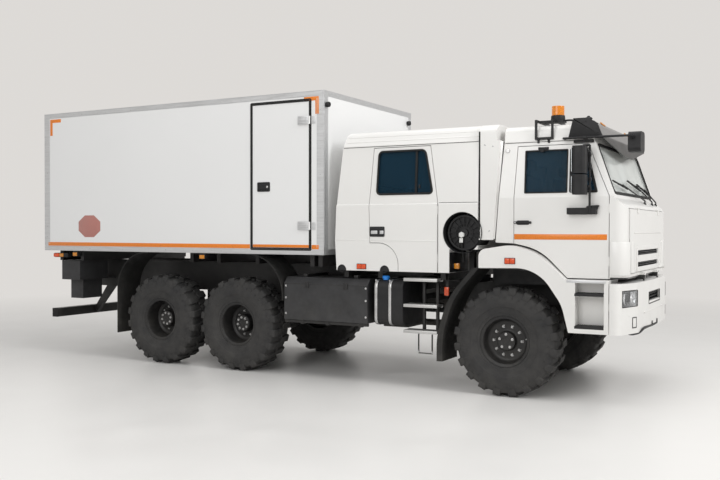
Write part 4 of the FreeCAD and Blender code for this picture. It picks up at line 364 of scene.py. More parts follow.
def fill(node, **values):  # socket values; an underscore stands for a space
    for socket, value in values.items():
        node.inputs[socket.replace("_", " ")].default_value = value


def mixShaders(share, first, second, last):  # share is a number or a socket
    mixed = addNode(first, "MixShader")
    if isinstance(share, float):
        fill(mixed, Fac=share)
    else:
        link(share, mixed, "Fac")
    link(first, mixed, 1)
    link(second, mixed, 2)
    link(mixed.outputs["Shader"], first.id_data.nodes[last], "Surface")


def startFinish(name, centre=(0, 0, 0), stretch=(1, 1, 1)):
    made = bpy.data.materials.new(name)
    made.use_nodes = True
    shader = made.node_tree.nodes["Principled BSDF"]
    places, mapping = addNode(shader, "TexCoord"), addNode(shader, "Mapping")
    fill(mapping, Location=centre, Scale=stretch)
    link(places.outputs["Object"], mapping, "Vector")
    return made, shader, mapping


def noiseOf(mapping, scale, detail=4, rough=0.55):
    noise = addNode(mapping, "TexNoise")
    fill(noise, Scale=scale, Detail=detail, Roughness=rough)
    link(mapping.outputs["Vector"], noise, "Vector")
    return noise.outputs["Fac"]


def rangeOf(source, fromLow, fromHigh, toLow, toHigh):
    spread = addNode(source, "MapRange")
    fill(spread, From_Min=fromLow, From_Max=fromHigh, To_Min=toLow, To_Max=toHigh)
    link(source, spread, "Value")
    return spread.outputs["Result"]


def mathOf(kind, source, other):  # other is a number or a socket
    node = addNode(source, "Math")
    node.operation = kind
    link(source, node, 0)
    if isinstance(other, (int, float)):
        node.inputs[1].default_value = other
    else:
        link(other, node, 1)
    return node.outputs["Value"]


def blendOf(share, first, second):  # colours or colour sockets
    node = addNode(share, "Mix")
    node.data_type = "RGBA"
    link(share, node, "Factor")
    for socket, value in ((6, first), (7, second)):  # the two colour sockets
        if isinstance(value, tuple):
            node.inputs[socket].default_value = (*value, 1)
        else:
            link(value, node, socket)
    return node.outputs[2]


def partOf(mapping, axis="Z"):  # one coordinate of the place
    parts = addNode(mapping, "SeparateXYZ")
    link(mapping.outputs["Vector"], parts, "Vector")
    return parts.outputs[axis]


def bumpOf(shader, height, strength, distance):
    bump = addNode(shader, "Bump")
    fill(bump, Strength=strength, Distance=distance)
    link(height, bump, "Height")
    link(bump.outputs["Normal"], shader, "Normal")


def edgeOf(shader, width):  # 1 along sharp edges, from the bevelled normal
    bevel = addNode(shader, "Bevel")
    fill(bevel, Radius=width)
    shape, dot = addNode(shader, "NewGeometry"), addNode(shader, "VectorMath")
    dot.operation = "DOT_PRODUCT"
    link(bevel.outputs["Normal"], dot, 0)
    link(shape.outputs["Normal"], dot, 1)
    return rangeOf(dot.outputs["Value"], 0.99, 0.86, 0, 1)


def paintFinish(name, colour, dust, rough=0.32, coat=0.35, ripple=0.12, dustTop=1.5, dustShare=0.25,
                drift=0.965, vary=0.06, gapShadeBand=None):
    # sprayed paint: faint tone drift, orange peel, road dust low down; a band of heights may be painted
    # black, as painted shade in the gap between the front hatch and the bumper
    centre = (0.13, 0.41, 0)
    made, shader, mapping = startFinish(name, centre)
    cloud = rangeOf(noiseOf(mapping, 0.9, 3), 0.3, 0.7, 0, 1)
    base = blendOf(cloud, tuple(c * drift for c in colour), colour)
    # painted shade: heights inside the band turn near-black where the gap under the hatch lies in shade
    if gapShadeBand:
        middle, half = sum(gapShadeBand) / 2, (gapShadeBand[1] - gapShadeBand[0]) / 2
        away = mathOf("ABSOLUTE", mathOf("SUBTRACT", partOf(mapping), middle), 0)
        within = mathOf("LESS_THAN", away, half)
        reach = mathOf("ABSOLUTE", partOf(mapping, "Y"), 0)
        inner = mathOf("LESS_THAN", reach, 0.75 + centre[1])  # the band ends 0.75 left of the middle
        base = blendOf(mathOf("MULTIPLY", within, inner), base, (0.012, 0.012, 0.012))
    low = rangeOf(partOf(mapping), 0.35, dustTop, 1, 0)
    film = rangeOf(noiseOf(mapping, 3.4, 6, 0.65), 0.38, 0.75, 0, dustShare)
    link(blendOf(mathOf("MULTIPLY", low, film), base, dust), shader, "Base Color")
    link(rangeOf(noiseOf(mapping, 5, 5), 0.3, 0.7, rough - vary, rough + vary), shader, "Roughness")
    bumpOf(shader, noiseOf(mapping, 420, 2), ripple, 0.0004)
    fill(shader, Coat_Weight=coat, Coat_Roughness=0.12)
    return made


def roughFinish(name, colour, second, rough, scale, bump, distance, metal=0.0, sheen=0.0, dust=None,
                dustTop=1.3, dustShare=0.35, wear=None, coat=0.0, shine=0.5):
    # moulded, cast or brushed-on surfaces: mottled colour, grain, dust, worn edges
    made, shader, mapping = startFinish(name, (0.07, 0.29, 0))
    mottle = rangeOf(noiseOf(mapping, 6, 6, 0.6), 0.32, 0.68, 0, 1)
    base = blendOf(mottle, colour, second)
    if wear:
        scuff = rangeOf(noiseOf(mapping, 45, 4), 0.42, 0.62, 0, 1)
        worn = mathOf("MULTIPLY", edgeOf(shader, 0.004), scuff)
        base = blendOf(worn, base, wear)
    if dust:
        low = rangeOf(partOf(mapping), 0.1, dustTop, 1, 0)
        film = rangeOf(noiseOf(mapping, 4.5, 7, 0.7), 0.3, 0.72, 0, dustShare)
        base = blendOf(mathOf("MULTIPLY", low, film), base, dust)
    link(base, shader, "Base Color")
    link(rangeOf(noiseOf(mapping, 14, 5), 0.3, 0.7, max(rough - 0.08, 0.02), min(rough + 0.1, 1)),
         shader, "Roughness")
    bumpOf(shader, noiseOf(mapping, scale, 5), bump, distance)
    fill(shader, Metallic=metal, Sheen_Weight=sheen, Coat_Weight=coat, Specular_IOR_Level=shine)
    return made


def brushedFinish(name, colour, rough, stretch, scale=60):
    made, shader, mapping = startFinish(name, (0.11, 0.23, 0.05), stretch)
    streak = noiseOf(mapping, scale, 4, 0.7)
    dark = tuple(c * 0.8 for c in colour)
    link(blendOf(rangeOf(streak, 0.3, 0.7, 0, 1), dark, colour), shader, "Base Color")
    link(rangeOf(streak, 0.3, 0.7, rough - 0.07, rough + 0.12), shader, "Roughness")
    bumpOf(shader, streak, 0.15, 0.0005)
    fill(shader, Metallic=0.85)
    return made


def glassFinish(name, colour, through, rough=0.03, ior=1.45, shine=0.5, see=None):
    made, shader, mapping = startFinish(name, (0.3, 0.2, 0.1))
    film = rangeOf(noiseOf(mapping, 2.3, 5), 0.35, 0.75, 0, 1)
    dim = tuple(c * 0.82 for c in colour)
    link(blendOf(film, colour, dim), shader, "Base Color")
    link(rangeOf(film, 0, 1, rough, rough + 0.05), shader, "Roughness")
    bumpOf(shader, noiseOf(mapping, 1.7, 2), 0.02, 0.002)
    fill(shader, Transmission_Weight=through, IOR=ior, Specular_IOR_Level=shine)
    if see:  # part of the light goes straight through, tinted
        clear = addNode(shader, "BsdfTransparent")
        fill(clear, Color=(*see[1], 1))
        mixShaders(see[0], shader.outputs["BSDF"], clear.outputs["BSDF"], "Material Output")
    return made


def visorShadedFinish(name, high, low, split):  # smoked sheet, darker below the split: the darker tone is painted shade on the visor's lower lip and underside
    made, shader, mapping = startFinish(name)
    cloud = rangeOf(noiseOf(mapping, 3.1, 3), 0.3, 0.7, 0.88, 1)
    # painted shade: below the split height the tone goes dark
    underShadeRamp = rangeOf(partOf(mapping), split - 0.01, split + 0.01, 0, 1)
    tone = blendOf(underShadeRamp, low, high)
    link(blendOf(cloud, (0, 0, 0), tone), shader, "Base Color")
    link(rangeOf(cloud, 0.88, 1, 0.3, 0.38), shader, "Roughness")
    fill(shader, Specular_IOR_Level=0.12)
    return made


def lensFinish(name, colour, glow=0.0):  # ribbed coloured lens over a reflector; glow is painted light, a faint emission that brightens the lens as if lit
    made, shader, mapping = startFinish(name, (0.02, 0.02, 0.02))
    ribs = addNode(shader, "TexVoronoi")
    fill(ribs, Scale=130)
    link(mapping.outputs["Vector"], ribs, "Vector")
    spots = rangeOf(ribs.outputs["Distance"], 0, 0.7, 0, 1)
    link(blendOf(spots, colour, tuple(c * 0.45 for c in colour)), shader, "Base Color")
    bumpOf(shader, ribs.outputs["Distance"], 0.4, 0.001)
    link(rangeOf(spots, 0, 1, 0.08, 0.2), shader, "Roughness")
    fill(shader, Coat_Weight=0.6)
    # painted light: the lens gives off a little light of its own colour
    if glow:
        fill(shader, Emission_Color=(*colour, 1), Emission_Strength=glow)
    return made


def tapeFinish(name, colour, mark=0.012):  # reflective sheet of small cells
    made, shader, mapping = startFinish(name)
    cells = addNode(shader, "TexVoronoi")
    cells.feature = "DISTANCE_TO_EDGE"
    fill(cells, Scale=1 / mark)
    link(mapping.outputs["Vector"], cells, "Vector")
    seam = rangeOf(cells.outputs["Distance"], 0.02, 0.12, 0, 1)
    film = rangeOf(noiseOf(mapping, 3, 5), 0.3, 0.7, 0.85, 1)
    tone = blendOf(mathOf("MULTIPLY", seam, film), tuple(c * 0.74 for c in colour), colour)
    link(tone, shader, "Base Color")
    bumpOf(shader, seam, 0.2, 0.0006)
    link(rangeOf(seam, 0, 1, 0.5, 0.3), shader, "Roughness")
    fill(shader, Coat_Weight=0.4)
    return made


def clothFinish(name, colour, second, thread=0.0022):  # woven cloth
    made, shader, mapping = startFinish(name, (0.01, 0.01, 0.01))
    waves = []
    for way in ("X", "Z"):
        wave = addNode(shader, "TexWave")
        wave.bands_direction = way
        fill(wave, Scale=0.32 / thread, Distortion=0.6)
        link(mapping.outputs["Vector"], wave, "Vector")
        waves.append(wave.outputs["Fac"])
    weave = mathOf("MULTIPLY", waves[0], waves[1])
    worn = rangeOf(noiseOf(mapping, 5, 5), 0.3, 0.7, 0, 1)
    tone = blendOf(worn, colour, second)
    link(blendOf(weave, tone, tuple(c * 0.5 for c in colour)), shader, "Base Color")
    bumpOf(shader, weave, 0.5, 0.001)
    link(rangeOf(weave, 0, 1, 0.8, 0.95), shader, "Roughness")
    fill(shader, Sheen_Weight=0.3)
    return made


dustTone = (0.4, 0.37, 0.32)
whiteTone = (0.765, 0.755, 0.732)
cabPaint = paintFinish("cabPaint", whiteTone, dustTone, vary=0.04)
# panel and bumper paint carry a near-black band of painted shade over the lugs and ears in the gap under the
# hatch
panelPaint = paintFinish("panelPaint", whiteTone, dustTone, vary=0.04, gapShadeBand=(1.3, 1.362))
bumperPaint = paintFinish("bumperPaint", whiteTone, dustTone, vary=0.04, gapShadeBand=(1.2985, 1.4))
vanSkin = paintFinish("vanSkin", (0.775, 0.775, 0.77), dustTone, rough=0.36, coat=0.15, ripple=0.04,
                      dustTop=2.0, dustShare=0.08, drift=0.985, vary=0.015)
blackSteel = roughFinish("blackSteel", (0.012, 0.012, 0.013), (0.022, 0.021, 0.02), 0.42, 260, 0.25, 0.0006,
                         dust=dustTone, dustShare=0.1, wear=(0.07, 0.065, 0.06), shine=0.35)
castIron = roughFinish("castIron", (0.018, 0.018, 0.018), (0.04, 0.037, 0.033), 0.6, 160, 0.5, 0.001,
                       dust=dustTone, dustShare=0.2, wear=(0.1, 0.09, 0.08), shine=0.3)
blackPlastic = roughFinish("blackPlastic", (0.011, 0.011, 0.012), (0.018, 0.018, 0.019), 0.5, 900, 0.3,
                           0.0003, dust=dustTone, dustTop=1.0, dustShare=0.08, shine=0.3)
greyPlastic = roughFinish("greyPlastic", (0.024, 0.024, 0.025), (0.036, 0.036, 0.038), 0.48, 700, 0.3,
                          0.0004, dust=dustTone, dustTop=1.25, dustShare=0.12, wear=(0.1, 0.1, 0.1),
                          shine=0.35)
tyreRubber = roughFinish("tyreRubber", (0.022, 0.022, 0.023), (0.036, 0.035, 0.034), 0.72, 190, 0.35, 0.001,
                         dust=(0.17, 0.16, 0.145), dustTop=1.6, dustShare=0.22, wear=(0.055, 0.054, 0.052),
                         shine=0.3)
sealRubber = roughFinish("sealRubber", (0.009, 0.009, 0.009), (0.015, 0.015, 0.015), 0.6, 500, 0.25, 0.0004,
                         shine=0.25)
flapRubber = roughFinish("flapRubber", (0.012, 0.012, 0.012), (0.02, 0.0195, 0.019), 0.65, 220, 0.35, 0.0008,
                         dust=dustTone, dustTop=1.4, dustShare=0.14, shine=0.25)
rimPaint = roughFinish("rimPaint", (0.009, 0.009, 0.01), (0.016, 0.0155, 0.015), 0.4, 300, 0.2, 0.0005,
                       dust=dustTone, dustTop=1.1, dustShare=0.1, wear=(0.06, 0.06, 0.06), shine=0.35)
aluminiumLong = brushedFinish("aluminiumLong", (0.66, 0.67, 0.68), 0.38, (0.05, 1, 1))
aluminiumTread = brushedFinish("aluminiumTread", (0.6, 0.6, 0.59), 0.42, (1, 0.08, 1))
steelBright = roughFinish("steelBright", (0.46, 0.46, 0.46), (0.62, 0.62, 0.62), 0.3, 200, 0.2, 0.0004,
                          metal=0.9, dust=dustTone, dustTop=1.0, dustShare=0.2)
# side glass: the dark blue base and strong tint are painted shade that darkens the pale cab interior seen
# through it
sideGlass = glassFinish("sideGlass", (0.02, 0.062, 0.1), 0.0, ior=1.3, shine=0.3,
                        see=(0.62, (0.46, 0.55, 0.62)))
# windscreen: the near-white diffuse base is a painted reflection that makes the glass look pale; part of the
# light goes through
screenGlass = glassFinish("screenGlass", (0.92, 0.94, 0.91), 0.0, 0.02, ior=1.3,
                          see=(0.4, (0.95, 0.97, 0.96)))
lampGlass = glassFinish("lampGlass", (0.92, 0.94, 0.95), 0.95, 0.01)
# the visor's low tone is painted shade below the split height
smokedPlastic = visorShadedFinish("smokedPlastic", (0.2, 0.193, 0.188), (0.03, 0.029, 0.028), 2.875)
mirrorGlass = roughFinish("mirrorGlass", (0.55, 0.58, 0.6), (0.5, 0.53, 0.55), 0.1, 3, 0.02, 0.001,
                          metal=1.0)
reflector = roughFinish("reflector", (0.8, 0.8, 0.81), (0.7, 0.7, 0.71), 0.18, 40, 0.08, 0.001, metal=0.45)
# the glow of these lens finishes is painted light, on lamp lenses, reflectors and the beacon dome alike
redLens = lensFinish("redLens", (0.9, 0.085, 0.0), 0.1)
amberLens = lensFinish("amberLens", (0.85, 0.3, 0.0), 0.06)
amberDome = lensFinish("amberDome", (0.9, 0.27, 0.0), 0.18)
orangeTape = tapeFinish("orangeTape", (0.8, 0.205, 0.0))
dustyRed = tapeFinish("dustyRed", (0.46, 0.185, 0.155), 0.02)
blueCap = roughFinish("blueCap", (0.012, 0.19, 0.62), (0.015, 0.22, 0.68), 0.4, 500, 0.2, 0.0003)
plateWhite = roughFinish("plateWhite", (0.72, 0.72, 0.7), (0.66, 0.66, 0.64), 0.4, 80, 0.15, 0.0005)
seatCloth = clothFinish("seatCloth", (0.045, 0.047, 0.052), (0.06, 0.062, 0.068))
slotOfFinish = {"cabPaint": "white_paint", "blackSteel": "black_steel", "rimPaint": "black_steel",
                "blackPlastic": "black_plastic", "blueCap": "black_plastic", "greyPlastic": "dark_grey",
                "tyreRubber": "tyre", "sealRubber": "rubber", "aluminiumLong": "aluminium",
                "aluminiumTread": "aluminium", "steelBright": "aluminium", "plateWhite": "aluminium",
                "mirrorGlass": "glass", "lampGlass": "glass", "reflector": "lamp", "redLens": "lamp",
                "amberLens": "lamp", "amberDome": "lamp", "orangeTape": "lamp", "dustyRed": "lamp",
                "seatCloth": "seat_fabric"}
print("finishes made")

finishOfNode = {"chassis_frame": blackSteel, "power_train": castIron, "front_axle": blackSteel,
                "rear_axles": blackSteel, "suspension": castIron, "knuckle_left": castIron,
                "knuckle_right": castIron, "tie_rod": blackSteel, "underrun_bar": blackSteel,
                "mudguards": flapRubber, "lockers": greyPlastic, "side_tanks": blackPlastic,
                "air_filter": blackPlastic, "crew_steps": aluminiumTread, "van_profiles": aluminiumLong,
                "van_floor": vanSkin, "van_walls": vanSkin, "van_roof": vanSkin, "van_side_door": vanSkin,
                "van_rear_door_left": vanSkin, "van_rear_door_right": vanSkin, "dashboard": blackPlastic,
                "visor": smokedPlastic, "roof_gear": blackPlastic, "cab_floor": greyPlastic,
                "cab_front_panel": panelPaint, "bumper": bumperPaint, "crew_window": sideGlass,
                "crew_door_glass": sideGlass, "cab_glass_left": sideGlass, "cab_glass_right": sideGlass,
                "cab_windscreen": screenGlass, "lamps": amberLens, "crew_seats": seatCloth,
                "cab_seats": seatCloth, "mirror_left": blackPlastic, "mirror_right": blackPlastic}
for name, node in nodes.items():
    finish = finishOfNode.get(name, cabPaint)
    if name.startswith("tyre_"):
        finish = tyreRubber
    if name.startswith("rim_"):
        finish = rimPaint
    for part in [node, *node.children]:
        if part.type == "MESH":
            part.data.materials.clear()
            part.data.materials.append(finish)

# Wheels: one tyre and two kinds of rim are modelled about the origin and copied to each place.
wheel = {"lugs": 20, "radius": 0.612, "lugWidth": 0.098, "slant": 0.026, "sides": 80,
         "turn": {"left": math.pi, "right": 0.0001}}


def ringOf(piece, name, perLug=1, start=0):  # copies round the axle
    step = 2 * math.pi / wheel["lugs"]
    return [copyOf(piece, name, turn=("Y", step * (number / perLug + start)), about=origin)
            for number in range(perLug * wheel["lugs"])]


def makeTyre():
    half = [(0.0, 0.586), (0.085, 0.585), (0.15, 0.582), (0.178, 0.57), (0.192, 0.545), (0.202, 0.505),
            (0.2105, 0.455), (0.2115, 0.43), (0.2075, 0.395), (0.2045, 0.392), (0.201, 0.385),
            (0.196, 0.345), (0.19, 0.325), (0.186, 0.323), (0.181, 0.305), (0.1785, 0.2915), (0.166, 0.2905),
            (0.165, 0.272)]
    rings = [(-along, radius) for along, radius in reversed(half)] + half[1:] + [(-0.165, 0.272)]
    tyre = addTurned("tyreBody", rings, origin, toRight, wheel["sides"])
    # one lug on the crown, with its wing running down the shoulder
    lug = addBox("lug", (-wheel["lugWidth"] / 2 - frontAxle, wheel["lugWidth"] / 2 - frontAxle),
                 (0.01, 0.178), (0.565, wheel["radius"]), 0)
    openEdit(lug)
    bpy.ops.mesh.bisect(plane_co=(0, 0.095, 0.59), plane_no=(0, 1, 0))
    leaveEdit()
    # a dog-leg across the tread, narrower at the top
    shiftVerts(lug, lambda spot: spot.y < 0.05, (wheel["slant"], 0, 0))
    for side in (-1, 1):
        shiftVerts(lug,
                   lambda spot: spot.z > 0.6 and side * (spot.x - wheel["slant"] * (spot.y < 0.05)) > 0,
                   (-0.006 * side, 0, 0))
    shiftVerts(lug, lambda spot: spot.z > 0.6 and spot.y > 0.15, (0, 0, -0.004))
    editFaces(lug, lambda middle, facing: facing.y > 0.8)
    bpy.ops.mesh.extrude_region_move(TRANSFORM_OT_translate={"value": (0, 0.014, -0.014)})
    bpy.ops.transform.resize(value=(0.94, 1, 0.9))
    bpy.ops.mesh.extrude_region_move(TRANSFORM_OT_translate={"value": (0, 0.008, -0.036)})
    bpy.ops.transform.resize(value=(0.8, 1, 0.6))
    leaveEdit()
    soften(lug, 0.0035, 1, 25)
    lugTurned = copyOf(lug, "lugTurned", turn=("Z", math.pi), about=origin)
    lugs = ringOf(lug, "lugOut") + ringOf(lugTurned, "lugIn", start=0.5)
    # small middle blocks between the two rows, and ribs on both walls
    block = addBox("midBlock", (-0.022 - frontAxle, 0.022 - frontAxle), (-0.02, 0.02),
                   (0.575, wheel["radius"] - 0.0045), 0.004, 1)
    lugs += ringOf(block, "midCopy", 2, 0.25)
    rib = addBox("wallRib", (-0.006 - frontAxle, 0.006 - frontAxle), (0.196, 0.2085), (0.475, 0.515), 0.002,
                 1)
    ribTurned = copyOf(rib, "ribTurned", turn=("Z", math.pi), about=origin)
    lugs += ringOf(rib, "ribCopy", 2, 0.125) + ringOf(ribTurned, "ribInner", 2, 0.125)
    removeAll(lug, lugTurned, block, rib, ribTurned)
    return joinAs("tyreShape", [tyre] + lugs)


def makeNut(radius, tall):  # a six-sided nut on its washer, stud through, about the origin, along -Y
    washer = addTurned("washer", [(0, 0), (0, radius * 1.35), (0.003, radius * 1.35), (0.0036, radius * 1.2),
                                  (0.0036, 0)], origin, toRight, 18)
    nut = addTurned("nut", [(0.003, 0), (0.003, radius), (tall - 0.003, radius), (tall, radius * 0.84),
                            (tall, 0)], origin, toRight, 6)
    stud = addTurned("stud", [(0, 0), (0, radius * 0.5), (tall + 0.007, radius * 0.5),
                              (tall + 0.009, radius * 0.36), (tall + 0.009, 0)], origin, toRight, 10)
    return joinAs("nutShape", [washer, nut, stud])


def makeRim(kind):  # outer side towards -Y
    disc, hubRadius, hubFace = (0.045, 0.105, 0.13) if kind == "front" else (-0.075, 0.11, 0.06)
    face = disc + 0.015
    front = [(hubFace, 0), (hubFace, 0.03), (hubFace - 0.004, 0.034), (hubFace - 0.004, 0.05),
             (hubFace, 0.054), (hubFace, hubRadius - 0.012), (hubFace - 0.006, hubRadius - 0.003),
             (hubFace - 0.014, hubRadius), (face + 0.012, hubRadius), (face + 0.004, hubRadius + 0.006),
             (face, hubRadius + 0.014), (face, 0.145), (face, 0.186), (face, 0.205), (face + 0.006, 0.222),
             (face + 0.022, 0.238), (face + 0.05, 0.247), (0.148, 0.2515), (0.156, 0.256), (0.16, 0.264),
             (0.1655, 0.266), (0.167, 0.26), (0.171, 0.258), (0.174, 0.264), (0.1745, 0.276), (0.177, 0.281),
             (0.177, 0.287), (0.174, 0.2895), (0.166, 0.2895), (0.165, 0.2705)]
    if kind == "rear":
        front = [ring for ring in front if ring[1] != 0.247]
    back = [(-0.165, 0.2705), (-0.166, 0.2895), (-0.177, 0.2895), (-0.177, 0.262), (-0.15, 0.256),
            (disc - 0.012 if kind == "rear" else disc - 0.02, 0.254), (disc, 0.236), (disc, 0.0565),
            (hubFace - 0.02, 0.0565), (hubFace - 0.02, 0)]
    rim = addTurned("rimBody", front + back, origin, toRight, 60)
    # ten round-cornered pockets in the disc, where the nuts sit
    editFaces(rim, lambda middle, facing: facing.y < -0.9 and 0.145 < math.hypot(middle.x, middle.z) < 0.186
              and (math.degrees(math.atan2(middle.z, middle.x)) + 6) % 36 < 12)
    bpy.ops.mesh.inset(thickness=0.003, depth=0)
    bpy.ops.mesh.extrude_region_move(TRANSFORM_OT_translate={"value": (0, 0.01, 0)})
    leaveEdit()
    nut, small = makeNut(0.0165, 0.022), makeNut(0.011, 0.01)
    nuts, smallCount = [], 5 if kind == "front" else 8
    for shape, count, start, circle, y in ((nut, 10, 0, 0.165, -face + 0.009),
                                           (small, smallCount, 0.25, 0.078, -hubFace + 0.0005)):
        for number in range(count):
            angle = 2 * math.pi * (number + start) / count
            nuts.append(copyOf(shape, "nutCopy", (circle * math.cos(angle), y, circle * math.sin(angle))))
    removeAll(nut, small)
    foot, tip = (0.215 - frontAxle, 0.004 - face, 0.03), (0.228 - frontAxle, -face - 0.05, 0.032)
    valve = addRod("valve", foot, tip, 0.006)
    return rim, joinAs("nutSet", nuts + [valve])


def moveTo(piece, name, side, x):  # the wheel's place; the left side is turned half round
    other = copyOf(piece, name, turn=("Z", wheel["turn"][side]), about=origin)
    other.location = (x + frontAxle, 1.02 if side == "left" else -1.02, 0.615)
    return fixPlace(other)


tyreShape = makeTyre()
rims = {kind: makeRim(kind) for kind in ("front", "rear")}
for row, x in (("front", 0.0), ("middle", -3.69), ("rear", -5.01)):
    rimShape, nutShape = rims["front" if row == "front" else "rear"]
    for side in ("left", "right"):
        body = f"wheel_{row}_{side}"
        tyre = dress(moveTo(tyreShape, f"tyreTread.{row}.{side}", side, x), tyreRubber, body, angle=28)
        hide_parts(f"tyre_{row}_{side}")
        rim = dress(moveTo(rimShape, f"rimDish.{row}.{side}", side, x), rimPaint, body, angle=30)
        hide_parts(f"rim_{row}_{side}")
        dress(moveTo(nutShape, f"rimNuts.{row}.{side}", side, x), steelBright, body, angle=30)
removeAll(tyreShape, *rims["front"], *rims["rear"])
print("wheels made")

# Van body: reflective strips, corner marks, seal frame, latch, hinges, edge beads, rivets, lamps.
van = {"half": 1.25, "stripe": (1.618, 1.672), "tape": 0.0012, "back": -7.25, "front": -2.32,
       "door": ((-3.41, -2.526), (1.622, 3.475)), "bead": 0.0022, "rivetStep": 0.16}
tapeY = van["half"] + van["tape"] / 2
strips = [sidePanel("strip", (-7.17, -3.442), van["stripe"], -tapeY, van["tape"]),
          sidePanel("strip", (-2.498, -2.395), van["stripe"], -tapeY, van["tape"]),
          sidePanel("strip", (-7.17, -2.395), van["stripe"], tapeY, van["tape"])]


def cornerMark(xs, zs, y, wide=0.05, corner="back"):  # an L of tape in an upper corner
    low, high = zs
    if corner == "back":
        points = [(xs[0], low), (xs[0] + wide, low), (xs[0] + wide, high - wide), (xs[1], high - wide),
                  (xs[1], high), (xs[0], high)]
    else:
        points = [(xs[1], low), (xs[1], high), (xs[0], high), (xs[0], high - wide),
                  (xs[1] - wide, high - wide), (xs[1] - wide, low)]
    return addPlate("mark", atY(points, y), van["tape"], edge=0.0004)


for y in (-tapeY, tapeY):
    strips.append(cornerMark((-7.125, -6.9), (3.265, 3.506), y))
    strips.append(cornerMark((-2.612, -2.395), (3.3, 3.5185), y, corner="front"))
build("vanTape", strips, orangeTape)
dress(sidePanel("doorTape", (-3.396, -2.54), (1.636, 1.672), -tapeY, van["tape"]), orangeTape,
      "van_side_door")
octagon = []
for y in (-tapeY, tapeY):
    points = arcOf(-6.32, 1.908, 0.236, 0.172, range(0, 360, 45), 22.5)
    octagon.append(addPlate("octagonPlate", atY(points, y), van["tape"], edge=0.0004))
build("octagonSigns", octagon, dustyRed)

(doorBack, doorFront), (doorLow, doorTop) = van["door"]
wallSeal = sidePanel("wallSeal", (doorBack - 0.024, doorFront + 0.024), (doorLow - 0.024, doorTop + 0.024),
                     -van["half"] - 0.0015, 0.007, 0.02, 0.0165, 0.0012)
dress(wallSeal, sealRubber)
doorSeal = sidePanel("doorSeal", (doorBack - 0.0055, doorFront + 0.0055),
                     (doorLow - 0.0055, doorTop + 0.0055), -van["half"] - 0.0022, 0.0064, 0.012, 0.017,
                     0.0012)
dress(doorSeal, sealRubber, "van_side_door")

latch = {"middle": (-3.225, 2.411), "size": (0.196, 0.122)}
(latchX, latchZ), (latchWide, latchTall) = latch["middle"], latch["size"]
bezel = sidePanel("latchBezel", (latchX - latchWide / 2, latchX + latchWide / 2),
                  (latchZ - latchTall / 2, latchZ + latchTall / 2), -van["half"] - 0.003, 0.008, 0.014,
                  0.016)
tray = sidePanel("latchTray", around(latchX, 0.084), around(latchZ, 0.047),
                 -van["half"] - 0.0008, 0.0025, 0.008)
paddle = addBox("latchPaddle", (latchX - 0.078, latchX + 0.03), (-1.2592, -1.2515), around(latchZ, 0.034),
                0.003)
pushFace(paddle, (0, -1, 0), 0.012, 0.0025)
build("doorLatch", [bezel, tray, paddle], blackPlastic, "van_side_door")
keyway = addTurned("latchKey", [(0, 0), (0, 0.016), (0.005, 0.016), (0.007, 0.013), (0.007, 0.004),
                                (0.003, 0.004), (0.003, 0)], (latchX + 0.056, -1.2518, latchZ), toRight, 20)
dress(keyway, steelBright, "van_side_door")

straps, pins = [], []
for low in (1.86, 3.18):
    strap = sidePanel("hingeStrap", (-2.698, -2.54), (low - 0.004, low + 0.104), -1.2655, 0.003, 0.006)
    ribs = [addBox("hingeRib", (-2.69, -2.545), (-1.2705, -1.2655), (low + z, low + z + 0.008), 0.002)
            for z in (0.012, 0.046, 0.08)]
    bolts = [addBolt("hingeBolt", (x, -1.2668, low + z), 0.006, 0.006, toRight)
             for x in (-2.678, -2.575) for z in (0.032, 0.068)]
    leaf = sidePanel("hingeLeaf", (-2.508, -2.44), (low + 0.002, low + 0.098), -1.2522, 0.004, 0.004)
    leafBolts = [addBolt("leafBolt", (-2.462, -1.254, low + z), 0.006, 0.005, toRight)
                 for z in (0.022, 0.078)]
    straps += [strap, *ribs, *bolts]
    pins += [leaf, *leafBolts]
build("hingeStraps", straps, aluminiumLong, "van_side_door")
build("hingeLeaves", pins, aluminiumLong)

beads = []
for sign in (-1, 1):
    y = sign * van["half"]
    out = sign * (van["half"] + van["bead"])
    for z in (3.53, 3.583, 1.556, 1.604):
        beads.append(addBox("bead", (van["back"] + 0.006, van["front"] - 0.006), (y, out), (z, z + 0.006),
                            0.0016, 1))
    for x in (-7.244, -7.146, -2.424, -2.332):
        beads.append(addBox("bead", (x, x + 0.006), (y, out), (1.64, 3.5), 0.0016, 1))
    for x in (van["back"], van["front"]):
        for inset in (0.006, 0.072):
            wall = sign * (van["half"] - inset)
            beads.append(addBox("bead", (x - van["bead"], x + van["bead"]), (wall, wall - sign * 0.006),
                                (1.64, 3.5), 0.0016, 1))
build("profileBeads", beads, aluminiumLong)

rivets = []
rivetCount = int((van["front"] - van["back"] - 0.2) / van["rivetStep"])
for sign, turn in outward.items():
    for z in (3.548, 1.582):
        rivet = addDome("rivet", (van["back"] + 0.14, sign * van["half"], z), 0.006, 0.0026, turn, 8)
        rivets.append(rowOf(rivet, rivetCount, (van["rivetStep"], 0, 0)))
    for x in (-7.19, -2.375):
        rivet = addDome("rivet", (x, sign * van["half"], 1.75), 0.006, 0.0026, turn, 8)
        rivets.append(rowOf(rivet, 11, (0, 0, 0.16)))
build("profileRivets", rivets, steelBright, angle=50)

cameras = []
for y, z in ((-1.195, 3.415), (1.12, 3.43)):
    cameras.append(addTurned("frontLamp", [(0, 0), (0, 0.03), (0.012, 0.034), (0.04, 0.034), (0.05, 0.03),
                                           (0.05, 0.022), (0.044, 0.019), (0.044, 0)],
                             (van["front"] - 0.001, y, z), toFront, 24))
build("frontWallLamps", cameras, blackPlastic)
print("van body dressed")


# Crew module: window rubber, divider, handle, seams, creases, lamp, notches, air filter.
def moduleSide(z):
    return 1.19 if z <= 2.174 else 1.178 - (z - 2.174) * 0.028 / 0.694


def cabSide(z):
    return 1.15 if z <= 2.22 else 1.15 - (z - 2.22) * 0.055 / 0.615


def onSide(surface, points, out, sign=-1):  # (x, z) pairs laid on a side, a little outside it
    return [(x, sign * (surface(z) + out), z) for x, z in points]


